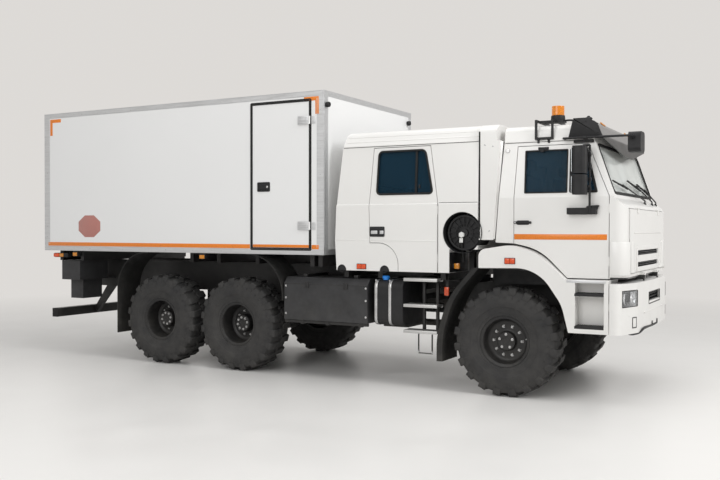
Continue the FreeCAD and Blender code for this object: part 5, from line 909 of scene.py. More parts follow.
module = {"rubber": 0.024, "corner": 0.062}
grown = [(-1.634, 2.276), (-0.874, 2.276), (-0.979, 2.812), (-1.608, 2.812)]
for sign, body in ((-1, "crew_door"), (1, "chassis")):
    ring = addPlate("windowRubber", onSide(moduleSide, grown, 0.0015, sign), 0.011, module["corner"],
                    module["rubber"], 6, 0.003)
    inner = addPlate("windowBead", onSide(moduleSide, grown, -0.013, sign), 0.022,
                     module["corner"], 0.013, 6, 0.003)
    strip = [(-1.121, 2.29), (-1.093, 2.29), (-1.089, 2.8), (-1.117, 2.8)]
    bar = addPlate("windowDivider", onSide(moduleSide, strip, -0.012, sign), 0.018, 0, 0, 2, 0.003)
    side = "Right" if sign < 0 else "Left"
    build("moduleRubber" + side, [ring, inner, bar], sealRubber, body)
    catch = addPlate("windowCatch", onSide(moduleSide, rectangle((-1.07, -1.05), (2.352, 2.392)), -0.008,
                                           sign), 0.014, 0.004)
    dress(catch, blackPlastic, body)

bowl = sidePanel("handleBezel", (-1.708, -1.507), (1.778, 1.9), -1.1915, 0.008, 0.016, 0.013)
floorPlate = sidePanel("handleTray", (-1.7, -1.515), (1.786, 1.892), -1.1903, 0.0025, 0.01)
bar = addBox("handleBar", (-1.698, -1.517), (-1.2, -1.1905), (1.858, 1.89), 0.005)
post = addBox("handlePost", (-1.598, -1.578), (-1.198, -1.1905), (1.79, 1.87), 0.004)
lowBar = addBox("handleFoot", (-1.698, -1.59), (-1.197, -1.1905), (1.786, 1.806), 0.004)
build("moduleHandle", [bowl, floorPlate, bar, post, lowBar], blackPlastic, "crew_door")
inserts = [sidePanel("handleInsert", xs, (1.812, 1.852), -1.1925, 0.003, 0.004)
           for xs in ((-1.692, -1.604), (-1.572, -1.52))]
build("handleInserts", inserts, aluminiumLong, "crew_door")

seams = []
for sign in (-1, 1):
    seams.append(addPlate("frontSeam", onSide(moduleSide, rectangle((-0.806, -0.33), (2.1745, 2.1795)),
                                              0.0006, sign), 0.0016, edge=0))
    seams.append(sidePanel("postSeam", (-0.8135, -0.8095), (1.372, 2.168), sign * 1.1903, 0.0014, edge=0))
build("moduleSeams", seams, sealRubber)

creases = {"chassis": [], "crew_door": []}
for sign, body, back, front in ((-1, "chassis", -2.188, -1.735), (-1, "crew_door", -1.705, -0.83),
                                (1, "chassis", -2.188, -1.735), (1, "chassis", -0.8, -0.7),
                                (1, "chassis", -1.705, -0.83)):
    creases[body].append(addBox("crease", (back, front), (sign * 1.189, sign * 1.1925), (1.729, 1.741),
                                0.0016))
for body, lips in creases.items():
    build("moduleCrease." + body, lips, cabPaint, body)

lens = []
for x in (-1.853, -1.791):
    lens += pairOf("moduleLens", around(x, 0.029), (1.189, 1.206), (1.388, 1.444), 0.006, 3)
build("moduleLamps", lens, redLens)
frames = [sidePanel("lampFoot", (-1.889, -1.755), (1.382, 1.45), sign * 1.1912, 0.006, 0.008)
          for sign in (-1, 1)]
build("moduleLampFeet", frames, blackPlastic)

notches = {"chassis": [], "crew_door": []}
for sign, x, body in ((-1, -2.098, "chassis"), (-1, -1.508, "crew_door"), (1, -2.098, "chassis"),
                      (1, -1.508, "chassis")):
    arc = atY(arcOf(x, 1.364, 0.064, 0.072, range(0, 181, 15)), sign * 1.1905)
    notches[body].append(addPlate("notch", arc, 0.003, edge=0.0006))
    notches[body].append(addTurned("notchRing", [(0, 0.036), (0, 0.044), (0.004, 0.044), (0.004, 0.036),
                                                 (0, 0.036)], (x, sign * 1.1915, 1.386), outward[sign], 24))
for body, items in notches.items():
    build("moduleNotches." + body, items, blackPlastic, body)

# round air filter in its bay, with ribs, rim, clip and a bright boss
filterAt = {"x": -0.515, "z": 1.83, "face": -1.12}
fx, fz, fy = filterAt["x"], filterAt["z"], filterAt["face"]
rib = addBox("filterRib", (fx + 0.074, fx + 0.188), (fy + 0.01, fy - 0.002), around(fz, 0.004), 0.0015, 1)
ribs = [copyOf(rib, "filterRibCopy", turn=("Y", math.radians(22.5 * number)), about=(fx, fy, fz))
        for number in (0, 1, 2, *range(5, 16))]  # two are left out where the clip sits
removeAll(rib)
ribs.append(addTurned("filterRing", [(0, 0.186), (0, 0.203), (0.008, 0.203), (0.01, 0.199), (0.01, 0.19),
                                     (0.008, 0.186), (0, 0.186)], (fx, fy + 0.006, fz), toRight, 48))
ribs.append(addTurned("filterStep", [(0, 0.1), (0, 0.108), (0.006, 0.108), (0.006, 0.1), (0, 0.1)],
                      (fx, fy + 0.004, fz), toRight, 40))
build("filterRibs", ribs, blackPlastic)
boss = addTurned("filterBoss", [(0, 0), (0, 0.038), (0.012, 0.036), (0.02, 0.028), (0.022, 0.016),
                                (0.022, 0)], (fx - 0.03, fy - 0.0005, fz - 0.025), toRight, 6)
tag = addBox("filterTag", (fx - 0.058, fx - 0.014), (fy - 0.006, fy + 0.001), (fz - 0.115, fz - 0.062),
             0.003)
build("filterBossSet", [boss, tag], plateWhite)
hose = addTube("filterHose", [(fx - 0.036, fy + 0.01, fz - 0.118), (fx - 0.03, fy + 0.008, fz - 0.17),
                              (fx - 0.026, fy + 0.04, fz - 0.24), (fx - 0.03, fy + 0.06, fz - 0.33)], 0.02)
dress(hose, sealRubber)
amber = addBox("archReflector", (-0.64, -0.582), (-1.118, -1.078), (1.412, 1.476), 0.005)
dress(amber, amberLens)
foot = addBox("reflectorFoot", (-0.6715, -0.638), (-1.112, -1.084), (1.42, 1.468), 0.003)
drop = addBox("lampStrip", (-0.792, -0.752), (-1.012, -1.004), (1.08, 1.3655), 0.003)
build("lampStrips", [foot, drop], blackSteel)
dress(addBox("archLamp", (-0.8, -0.744), (-1.034, -1.01), (1.09, 1.19), 0.006), redLens)

dots = [addDome("fairingBolt", (x, sign * 1.1648, z), 0.01, 0.004, turn, 12)
        for x, z in ((-0.248, 2.821), (-0.153, 2.805), (-0.3, 1.85), (-0.197, 1.85))
        for sign, turn in outward.items()]
build("fairingBolts", dots, steelBright, angle=50)
print("crew module dressed")

# Cab sides: window rubbers, handles, tape, round lamp, kerb mirror bracket, mirror fittings.
for sign, side in bothSides:
    body = "cab_door_" + side
    wide = rectangle((0.204, 0.686), (2.264, 2.742))
    slant = [(0.705, 2.262), (1.015, 2.262), (0.893, 2.744), (0.705, 2.744)]
    pieces = [addPlate("windowRubber", onSide(cabSide, outline, out, sign), thick, corner, width, 4, 0.002)
              for outline, out, thick, corner, width in ((wide, 0.0015, 0.007, 0.014, 0.015),
                                                         (slant, 0.0015, 0.007, 0.02, 0.026),
                                                         (wide, -0.014, 0.02, 0.014, 0.0125))]
    build(f"windowRubbers.{side}", pieces, sealRubber, body)
    grip = addBox("doorHandle", (0.098, 0.286), (sign * 1.158, sign * 1.17), (1.934, 1.954), 0.006, 3)
    feet = [addBox("handleEnd", xs, (sign * 1.149, sign * 1.167), (1.93, 1.958), 0.006, 3)
            for xs in ((0.088, 0.134), (0.256, 0.29))]
    cupped = sidePanel("handleCup", (0.118, 0.268), (1.918, 1.968), sign * 1.1504, 0.0018, 0.02)
    build(f"doorHandle.{side}", [grip, *feet, cupped], blackPlastic, body)
    key = addTurned("handleKey", [(0, 0), (0, 0.009), (0.003, 0.009), (0.004, 0.007), (0.004, 0)],
                    (0.108, sign * 1.1665, 1.944), outward[sign], 16)
    dress(key, steelBright, body)
    dress(sidePanel(f"cabTape.{side}", (0.094, 1.112), (1.757, 1.817), sign * 1.1512, 0.0012), orangeTape,
          body)
    lampRing = addTurned("cabRoundLamp", [(0, 0), (0, 0.026), (0.01, 0.024), (0.014, 0.018), (0.014, 0)],
                         (0.001, sign * (cabSide(2.748) - 0.001), 2.748), outward[sign], 20)
    dress(lampRing, steelBright, "cab")
    high, low = cabSide(2.76), cabSide(2.74)
    bracket = [addBox("kerbBracket", (0.352, 0.468), (sign * (high - 0.004), sign * (high + 0.016)),
                      (2.744, 2.772), 0.004),
               addBox("kerbFoot", (0.378, 0.42), (sign * (low - 0.004), sign * (low + 0.024)),
                      (2.716, 2.75), 0.004)]
    build(f"kerbBracket.{side}", bracket, blackPlastic, body)

    # mirror fittings: glass on the rear face, bolts in the bracket, clamps and a cable
    glass = [addBox("mirrorFace", (0.7965, 0.802), (sign * 1.25, sign * 1.41), zs, 0.0015, 1)
             for zs in ((2.252, 2.426), (2.474, 2.726))]
    build(f"mirrorGlass.{side}", glass, mirrorGlass, body)
    bar = addBox("mirrorBar", (0.712, 1.0), (sign * 1.151, sign * 1.164), (2.028, 2.072), 0.004)
    wedge = addPlate("mirrorWedge", atY([(0.88, 2.032), (0.985, 2.032), (1.036, 2.128), (0.905, 2.118)],
                                        sign * 1.172), 0.05, 0.012)
    clamps = [addRod("mirrorClamp", (0.93, sign * 1.223, z), (0.96, sign * 1.223, z), 0.022, 16)
              for z in (2.3, 2.4, 2.52, 2.66)]
    cable = addTube("mirrorCable", [(0.95, sign * 1.238, 2.74), (0.9, sign * 1.262, 2.7),
                                    (0.925, sign * 1.25, 2.6), (0.948, sign * 1.238, 2.5),
                                    (0.945, sign * 1.238, 2.3), (0.945, sign * 1.238, 2.12)], 0.005)
    build(f"mirrorFittings.{side}", [bar, wedge, *clamps, cable], blackPlastic, body)
    # the bolt heads take a flat white finish, a painted glint of chrome heads
    bolts = [addDome("mirrorBolt", (x, sign * 1.1635, 2.05), 0.0115, 0.006, outward[sign], 12)
             for x in (0.732, 0.765, 0.798, 0.831, 0.864)]
    build(f"mirrorBolts.{side}", bolts, plateWhite, body, angle=50)
print("cab sides dressed")

# Front end: headlamps, grille bars, intake, tow cover, pull rod, corner covers, steps, wipers.
def bumperFront(y):
    y = abs(y)
    if y <= 0.3:
        return 1.395
    return 1.395 - (y - 0.3) * 0.04107 if y <= 0.86 else 1.372 - (y - 0.86) * 0.28205


front = {"lampY": (0.857, 1.183), "lampZ": (1.051, 1.219), "bowls": ((0.945, 0.068), (1.098, 0.06)),
         "slot": (0.345, 1.03, 1.17), "grille": ((1.42, 1.51), (1.585, 1.648))}


def onBumper(ys, zs, out, sign):
    return [(bumperFront(y) + out, sign * y, z) for y, z in rectangle(ys, zs)]


for sign, side in bothSides:
    (inY, outY), (lowZ, highZ) = front["lampY"], front["lampZ"]
    plan = [(1.225, inY), (bumperFront(inY) - 0.034, inY), (bumperFront(outY) - 0.034, outY), (1.225, outY)]
    housing = addPlate(f"headlampHousing.{side}", atZ(plan, (lowZ + highZ) / 2, sign), highZ - lowZ - 0.002)
    bowls = []
    for y, radius in front["bowls"]:
        place = (bumperFront(y) - 0.04, sign * y, 1.136)
        bowls.append(addTurned("lampBowl", [(0.004, 0), (0.006, radius * 0.22), (0.012, radius * 0.55),
                                            (0.024, radius * 0.88), (0.032, radius), (0.03, radius * 1.04),
                                            (0.004, radius * 1.04), (0.0, 0)], place, toFront, 40))
        bowls.append(addTurned("lampBulb", [(0.006, 0), (0.006, 0.012), (0.022, 0.011), (0.028, 0.006),
                                            (0.029, 0)], place, toFront, 20))
    ledge = addPlate("lampLedge", onBumper((inY + 0.004, outY - 0.004), (lowZ + 0.004, highZ - 0.004),
                                           -0.028, sign), 0.006, 0.01, 0.012)
    build(f"headlampBowls.{side}", bowls + [ledge], reflector)
    dress(housing, reflector, "chassis", "dark_grey")
    lens = addPlate(f"headlampLens.{side}", onBumper((inY + 0.002, outY - 0.002),
                                                     (lowZ + 0.002, highZ - 0.002), -0.003, sign), 0.004,
                    0.014, 0, 4, 0.001)
    dress(lens, lampGlass)
    divider = addPlate("lampDivider", onBumper((1.018, 1.026), (lowZ + 0.05, highZ - 0.004), -0.014, sign),
                       0.02)
    seal = addPlate("lampSeal", onBumper((inY - 0.005, outY + 0.005), (lowZ - 0.005, highZ + 0.005), -0.001,
                                         sign), 0.008, 0.018, 0.0065, 4)
    build(f"headlampSeal.{side}", [seal, divider], sealRubber)
    for piece in (housing, lens):
        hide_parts("lamps")

half, low, high = front["slot"]
backing = addBox("intakeBack", (1.318, 1.322), (-0.42, 0.42), (0.99, 1.21), 0.001)
bars = [addBox("intakeBar", (1.345, 1.365), (-half + 0.002, half - 0.002), (z, z + 0.01), 0.003)
        for z in (1.062, 1.095, 1.128)]
upright = addBox("intakeUpright", (1.343, 1.36), (-half + 0.05, -half + 0.058), (low, high), 0.002)
bars.append(rowOf(upright, 7, (0, 0.098, 0)))
rim = addPlate("intakeRim", atX(rectangle((-half, half), (low, high)), 1.3935), 0.006, 0.02, 0.012)
build("bumperIntake", [backing, *bars, rim], blackPlastic)
chin = addBox("intakeChin", (1.35, 1.3945), (-half + 0.001, half - 0.001), (low + 0.001, low + 0.034), 0.006,
              3)
dress(chin, cabPaint)

slats = []
for low, high in front["grille"]:
    count = 4 if high - low > 0.08 else 3
    for number in range(count):
        z = low + (high - low) * (number + 0.5) / count
        slats.append(addBox("grilleSlat", (1.3, 1.3165), (-0.598, 0.598), around(z, 0.004), 0.0025))
    upright = addBox("grilleUpright", (1.298, 1.312), (-0.572, -0.564), (low + 0.001, high - 0.001), 0.002)
    slats.append(rowOf(upright, 14, (0, 0.0875, 0)))
slats.append(addBox("grilleBack", (1.286, 1.29), (-0.62, 0.62), (1.41, 1.66), 0.001))
build("grilleSlats", slats, greyPlastic, "front_hatch")

# corner covers stand a little proud of the panel, part on the cab and part on the hatch
covers, hatchCovers = [], []
for sign in (-1, 1):
    path = [(1.143, 1.149), (1.143, 1.16), (1.2, 1.163), (1.242, 1.158), (1.277, 1.141), (1.305, 1.112),
            (1.323, 1.074), (1.333, 1.0225), (1.309, 1.0225), (1.299, 1.066), (1.285, 1.098), (1.261, 1.125),
            (1.232, 1.142), (1.2, 1.149)]
    covers.append(addPlate("cornerCover", atZ(path, 1.56, sign), 0.356, edge=0.009))
    shape = [(1.011, 1.738), (0.85, 1.738), (0.825, 1.715), (0.8, 1.44), (0.7, 1.406), (0.7, 1.404),
             (1.011, 1.404)]
    hatchCovers.append(addPlate("hatchCover", atX(shape, 1.325, sign), 0.018, edge=0.007))
build("cornerCovers", covers, cabPaint, "cab", angle=40)
build("hatchCovers", hatchCovers, cabPaint, "front_hatch")
ridge = addBox("hatchRidge", (1.319, 1.328), (-0.8, 0.8), (1.826, 1.838), 0.0035, 3)
step = addPlate("hatchField", atX(rectangle((-0.675, 0.675), (1.408, 1.69)), 1.3235), 0.011, 0.05, 0.05, 5,
                0.005)
build("hatchRelief", [ridge, step], cabPaint, "front_hatch")

tow = [addPlate("towFrame", onBumper((0.885, 0.975), (0.818, 0.935), 0.0015, sign), 0.006, 0.006, 0.009)
       for sign in (-1, 1)]
build("towFrames", tow, greyPlastic)
towDoors = [addPlate("towDoor", onBumper((0.897, 0.963), (0.83, 0.923), 0.002, sign), 0.005, 0.004)
            for sign in (-1, 1)]
lip = addBox("bumperCrease", (1.374, 1.3965), (-0.58, 0.58), (0.952, 0.962), 0.003)
creaseSides = [addPlate("bumperCreaseSide", onBumper((0.575, 1.05), (0.95, 0.962), 0.0012, sign), 0.005,
                        0.002) for sign in (-1, 1)]
build("bumperRelief", [*towDoors, lip, *creaseSides], cabPaint)
pull = addTube("pullRod", [(1.29, -1.07, 0.79), (1.31, -1.0, 0.752), (1.365, -0.78, 0.748),
                           (1.384, -0.69, 0.772), (1.388, -0.6, 0.79), (1.39, -0.1, 0.778),
                           (1.388, 0.24, 0.778), (1.34, 0.33, 0.79)], 0.0145)
ends = [addTurned("pullEye", [(-0.012, 0.014), (-0.012, 0.032), (0.012, 0.032), (0.012, 0.014),
                              (-0.012, 0.014)], (1.388, y, 0.8), toFront, 24) for y in (-0.15, 0.15)]
build("pullRod", [pull, *ends], blackPlastic)

# entry steps: toothed black treads, and a grey strip of painted shade for the block's half-lit top plate
treads = []
for sign in (-1, 1):
    for level in (1.187, 0.84):
        pad = addBox("treadPad", (0.79, 1.106), (sign * 1.112, sign * 1.2505),
                     (level - 0.031, level + 0.003), 0.004)
        tooth = addBox("treadTooth", (0.806, 0.816), (sign * 1.12, sign * 1.2495),
                       (level + 0.001, level + 0.009), 0.002, 1)
        treads += [pad, rowOf(tooth, 15, (0.0195, 0, 0))]
build("stepTreads", treads, blackPlastic)
# painted shade: a grey strip stands for the block's top plate, seen half lit in the recess under the door
shadeStrips = pairOf("sillBar", (0.708, 1.124), (1.2485, 1.2515), (1.3, 1.3295), 0.0012)
build("sillBars", shadeStrips, aluminiumLong)

screen = {"foot": (1.185, 2.205), "head": (0.965, 2.835)}


def onScreen(y, z, out=0.0):  # a place on the windscreen's plane
    share = (z - screen["foot"][1]) / (screen["head"][1] - screen["foot"][1])
    return (screen["foot"][0] + share * (screen["head"][0] - screen["foot"][0]) + out * 0.944, y,
            z + out * 0.33)


def between(start, end, share):
    return [a + (b - a) * share for a, b in zip(start, end)]


outer = [onScreen(y, z, -0.001) for y, z in rectangle((-1.052, 1.052), (2.243, 2.8))]
dress(addPlate("screenRubber", outer, 0.012, 0.09, 0.036, 8, 0.003), sealRubber, "cab")
wipers = {"blades": (((-0.975, 2.392), (-0.3, 2.322)), ((-0.18, 2.428), (0.44, 2.33)),
                     ((0.33, 2.408), (0.86, 2.3))), "pivots": (0.28, 0.74, 0.985)}
arms = []
for (start, end), pivotY in zip(wipers["blades"], wipers["pivots"]):
    a, b = onScreen(*start, 0.004), onScreen(*end, 0.004)
    middle = onScreen(start[0] * 0.45 + end[0] * 0.55, start[1] * 0.45 + end[1] * 0.55, 0.026)
    pivot = (1.226, pivotY, 2.18)
    arms.append(addRod("wiperRubber", a, b, 0.005, 8))
    backA, backB = onScreen(*start, 0.014), onScreen(*end, 0.014)
    arms.append(addRod("wiperBack", backA, backB, 0.0065, 8))
    for share in (0.12, 0.36, 0.64, 0.88):
        claw = between(backA, backB, share)
        arms.append(addRod("wiperClaw", claw, onScreen(claw[1], claw[2] - 0.006), 0.008, 8))
    yoke = [between(backA, backB, 0.25), middle, between(backA, backB, 0.75)]
    arms.append(addTube("wiperYoke", yoke, 0.005, 2))
    elbow = (1.232, pivotY - 0.06, 2.218)
    arms.append(addTube("wiperArm", [middle, elbow, (1.236, pivotY - 0.01, 2.2), pivot], 0.0085, 3))
    arms.append(addTurned("wiperPivot", [(0, 0), (0, 0.024), (0.02, 0.022), (0.032, 0.014), (0.034, 0)],
                          (pivot[0] - 0.01, pivotY, 2.16), (0, math.radians(38), 0), 20))
build("screenWipers", arms, blackPlastic, "cab")
print("front end dressed")

# Roof: smoked visor cheeks, knob, marker lamps, hoop feet, beacon, front mirror and arm.
roof = {"beacon": (0.52, -0.93), "top": 3.075, "side": -1.102}
footRings = [(-0.03, 0), (-0.03, 0.012), (0.0, 0.014), (0.006, 0.02), (0.012, 0.02), (0.012, 0)]
feet = [addTurned("hoopFoot", footRings, (x, roof["side"], 2.848), sides=16) for x in (0.352, 0.468)]
feet += [addBox("hoopFootIn", (x - 0.01, x + 0.034), (-0.65, -0.606), (3.0355, 3.046), 0.004)
         for x in (0.312, 0.494)]
feet += [addBox("hoopGusset", (x, x + 0.024), (-1.114, -1.06), (3.04, 3.052), 0.004) for x in (0.312, 0.494)]
feet.append(addTube("hoopCable", [(0.59, -0.93, 3.07), (0.64, -0.935, 3.074), (0.7, -0.95, 3.066),
                                  (0.745, -0.96, 3.05)], 0.011))
feet.append(addTurned("beaconBase", [(0, 0), (0, 0.0775), (0.014, 0.079), (0.04, 0.0765), (0.0525, 0.0755),
                                     (0.0545, 0.072), (0.0545, 0)], (*roof["beacon"], roof["top"] + 0.0005),
                      sides=40))
feet.append(addTurned("visorKnob", [(0, 0), (0, 0.04), (0.01, 0.042), (0.02, 0.034), (0.026, 0.018),
                                    (0.034, 0.016), (0.038, 0.01), (0.038, 0)], (0.88, -1.02, 3.058),
                      sides=28))
build("roofFittings", feet, blackPlastic, "cab")
rings = [(0, 0.0)] + [(0.0005 + 0.0085 * step, 0.0702 if step % 2 else 0.0684) for step in range(12)]
rings += [(0.101, 0.069), (0.1048, 0.0684), (0.106, 0.06), (0.1068, 0.04), (0.1072, 0)]
dome = addTurned("beaconLens", rings, (*roof["beacon"], roof["top"] + 0.0532), sides=40)
dress(dome, amberDome, "cab")
markers = []
for y in (-0.62, 0.62):
    lens = [(0.965, y - 0.034, 3.022), (0.965, y + 0.034, 3.022), (0.915, y + 0.03, 3.064),
            (0.915, y - 0.03, 3.064)]
    markers.append(addPlate("roofMarker", lens, 0.016, 0.006, edge=0.005))
build("roofMarkers", markers, amberLens, "cab")
cheeks = []
for sign in (-1, 1):
    profile = [(0.688, 2.85), (0.738, 3.05), (0.752, 3.0635), (0.905, 3.0635), (1.005, 2.994),
               (1.062, 2.846)]
    cheeks.append(addPlate("visorCheek", atY(profile, sign * 1.1275), 0.012, 0.012, 0, 3, 0.003))
    cap = atZ([(0.738, 1.133), (0.905, 1.133), (0.87, 1.03), (0.738, 0.985)], 3.0635, sign)
    cheeks.append(addPlate("visorTopCap", cap, 0.005, 0.008, 0, 3, 0.0015))
    fall = flip([(0.902, 1.133, 3.064), (0.87, 1.03, 3.064), (0.954, 1.075, 3.03), (1.005, 1.105, 2.994),
                 (1.005, 1.133, 2.994)], sign)
    cheeks.append(addPlate("visorFallCap", fall, 0.005, 0, 0, 3, 0.0015))
    cheeks.append(addBox("visorStrip", (0.745, 0.96), (sign * 1.098, sign * 1.128), (2.8, 2.826), 0.005))
    cheeks += [addDome("visorBolt", (x, sign * 1.133, z), 0.01, 0.005, outward[sign], 10)
               for x, z in ((0.745, 2.905), (0.88, 3.03), (1.01, 2.905))]
build("visorCheeks", cheeks, blackPlastic, "cab")
arm = addTube("mirrorArm", [(0.64, -1.095, 2.85), (0.66, -1.165, 2.85), (0.9, -1.168, 2.85),
                            (1.3, -1.166, 2.85), (1.345, -1.15, 2.85), (1.352, -1.03, 2.85)], 0.0125, 5)
knuckle = addTurned("mirrorKnuckle", [(-0.02, 0), (-0.02, 0.022), (0.02, 0.022), (0.02, 0)],
                    (1.345, -1.06, 2.85), toRight, 20)
clip = addBox("armClip", (0.852, 0.9), (-1.184, -1.128), (2.834, 2.866), 0.005)
lobe = addPlate("frontMirrorBack", atX(rectangle((-1.03, -0.83), (2.7, 2.895)), 1.3005),
                0.01, 0.035, 0.016, 6, 0.003)
build("frontMirrorFittings", [arm, knuckle, clip, lobe], blackPlastic, "cab")
face = addPlate("frontMirrorGlass", atX(rectangle((-1.016, -0.844), (2.714, 2.881)), 1.2985),
                0.003, 0.03, 0, 6, 0.001)
dress(face, mirrorGlass, "cab")
print("roof dressed")

# Fenders and wheel arches: side lamps and liners.
lamps = []
for x in (0.048, 0.106):
    lamps += pairOf("fenderLamp", around(x, 0.028), (1.249, 1.265), (1.49, 1.548), 0.006, 3)
build("fenderLamps", lamps, redLens)
bases = [sidePanel("fenderLampFoot", (0.014, 0.14), (1.484, 1.554), sign * 1.2512, 0.006, 0.008)
         for sign in (-1, 1)]
liners = []
arch = [(-0.284, 1.431), (0.3, 1.431), (0.395, 1.418), (0.47, 1.375), (0.545, 1.29), (0.61, 1.19),
        (0.655, 1.07), (0.69, 0.94), (0.722, 0.79)]
inner = [(x - 0.004, z - 0.005) for x, z in arch]
skirt = [(-0.28, 1.24), (0.56, 1.24), (0.545, 1.29), (0.47, 1.375), (0.395, 1.418), (-0.28, 1.431)]
for sign in (-1, 1):
    liners.append(addPlate("archLiner", atY(arch + inner[::-1], sign * 1.02), 0.42, edge=0))
    liners.append(addPlate("archSkirt", atY(skirt, sign * 0.803), 0.005, edge=0))
build("archLiners", liners + bases, blackPlastic)

# a black ring and walls that make the filter bay dark inside
bay = [addTurned("bayLiner", [(0, 0.2365), (0, 0.231), (0.3, 0.231), (0.3, 0.2365), (0, 0.2365)],
                 (filterAt["x"], -0.88, filterAt["z"]), toRight, 48)]
bay += pairOf("bayWall", (-0.6705, -0.667), (0.6, 1.186), (1.37, 1.6), 0.001)
build("bayLiners", bay, blackPlastic)
print("fenders dressed")

# Chassis side: bolts and rails of the cover box, tank straps and caps, ladder.
trim = [addBolt("boxBolt", (x, -1.215, z), 0.009, 0.007, toRight) for x in (-2.905, -1.75)
        for z in (0.8, 1.0, 1.15)]
build("boxBolts", trim, steelBright)
lid = [addBox("boxSeam", (-2.922, -1.735), (-1.2168, -1.212), (1.176, 1.184), 0.001, 1),
       addBox("boxRail", (-2.94, -1.735), (-1.19, -1.15), (0.684, 0.722), 0.006)]
lid += [addBox("boxHanger", (x, x + 0.05), (-1.196, -1.14), (0.672, 0.73), 0.005)
        for x in (-2.7, -2.33, -1.86)]
lid += [addBox("boxCatch", (x, x + 0.06), (-1.226, -1.212), (1.13, 1.21), 0.004) for x in (-2.62, -2.06)]
lid += [addBox("boxBracket", (x, x + 0.06), (-1.1, -0.56), (1.258, 1.3), 0.006) for x in (-2.72, -1.98)]
build("coverBoxTrim", lid, blackSteel)

straps = []
path = [(0.62, 1.2655), (1.11, 1.2655), (1.15, 1.257), (1.18, 1.234), (1.197, 1.2), (1.1995, 1.16),
        (1.1995, 0.815), (1.197, 0.778), (1.18, 0.744), (1.15, 0.721), (1.11, 0.7125), (0.62, 0.7125)]
within = [(y - 0.004 if y > 0.62 else y, z - 0.004 if z > 0.99 else z + 0.004) for y, z in path]
for x in (-1.618, -1.432):
    straps.append(addPlate("tankStrap", atX(path + within[::-1], x, -1), 0.034, edge=0.0008))
    straps.append(addBolt("strapBolt", (x, -1.196, 1.245), 0.008, 0.02, toSky))
for x in (-2.6, -2.05, -1.5):
    straps.append(addPlate("tankStrap", atX(path + within[::-1], x), 0.034, edge=0.0008))
build("tankStraps", straps, steelBright)
capRings = [(0, 0), (0, 0.036), (0.016, 0.036), (0.018, 0.044), (0.044, 0.044), (0.05, 0.038), (0.05, 0)]
caps = [addTurned("tankCap", capRings, (x, y, 1.259), sides=28) for x, y in ((-1.52, -1.12), (-1.4, 1.1))]
build("tankCaps", caps, blueCap)

ladder = []
for level in (1.29, 0.985, 0.68):
    ladder += [addBox("ladderFrame", (-1.246, -0.815), ys, (level - 0.034, level + 0.002), 0.002)
               for ys in ((-1.209, -1.203), (-1.034, -1.027))]
    rib = addBox("ladderRib", (-1.24, -1.232), (-1.203, -1.034), (level - 0.006, level + 0.004), 0.002, 1)
    ladder.append(rowOf(rib, 22, (0.0198, 0, 0)))
build("ladderTreads", ladder, aluminiumTread)
posts = []
for x in (-1.054, -0.881):
    posts.append(addBox("ladderPost", around(x, 0.0175), (-1.0485, -1.0115), (0.65, 1.255), 0.005))
    posts.append(addBox("ladderArm", around(x, 0.017), (-1.03, -0.44), (1.03, 1.105), 0.004))
    posts.append(addTube("stirrup", [(x, -1.19, 0.66), (x, -1.1925, 0.56), (x, -1.19, 0.43)], 0.0088))
posts.append(addRod("stirrupBar", (-1.058, -1.19, 0.416), (-0.877, -1.19, 0.416), 0.0092))
build("ladderPosts", posts, blackSteel)
print("chassis side dressed")

# Tail: lamps, markers, plate, lock rods, tapes and hinges on the rear doors, bar trim.
shells = pairOf("tailShell", (-7.06, -6.782), (1.148, 1.2365), (1.446, 1.51), 0.006)
red = pairOf("tailRed", (-7.0875, -7.058), (1.152, 1.232), (1.45, 1.506), 0.008, 3)
red += pairOf("tailRedSide", (-7.05, -6.96), (1.234, 1.242), (1.453, 1.503), 0.003)
amber = pairOf("tailAmberSide", (-6.95, -6.87), (1.234, 1.242), (1.453, 1.503), 0.003)
for x in (-6.635, -4.251):
    shells += pairOf("markerFoot", around(x, 0.05), (1.148, 1.2265), (1.462, 1.548), 0.005)
    amber += pairOf("markerLens", around(x, 0.042), (1.225, 1.238), (1.47, 1.52), 0.006, 3)
tailPieces = [build("tailShells", shells, blackPlastic),
              build("tailRedLenses", red, redLens),
              build("tailAmberLenses", amber, amberLens)]
for piece in tailPieces:
    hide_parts("lamps")

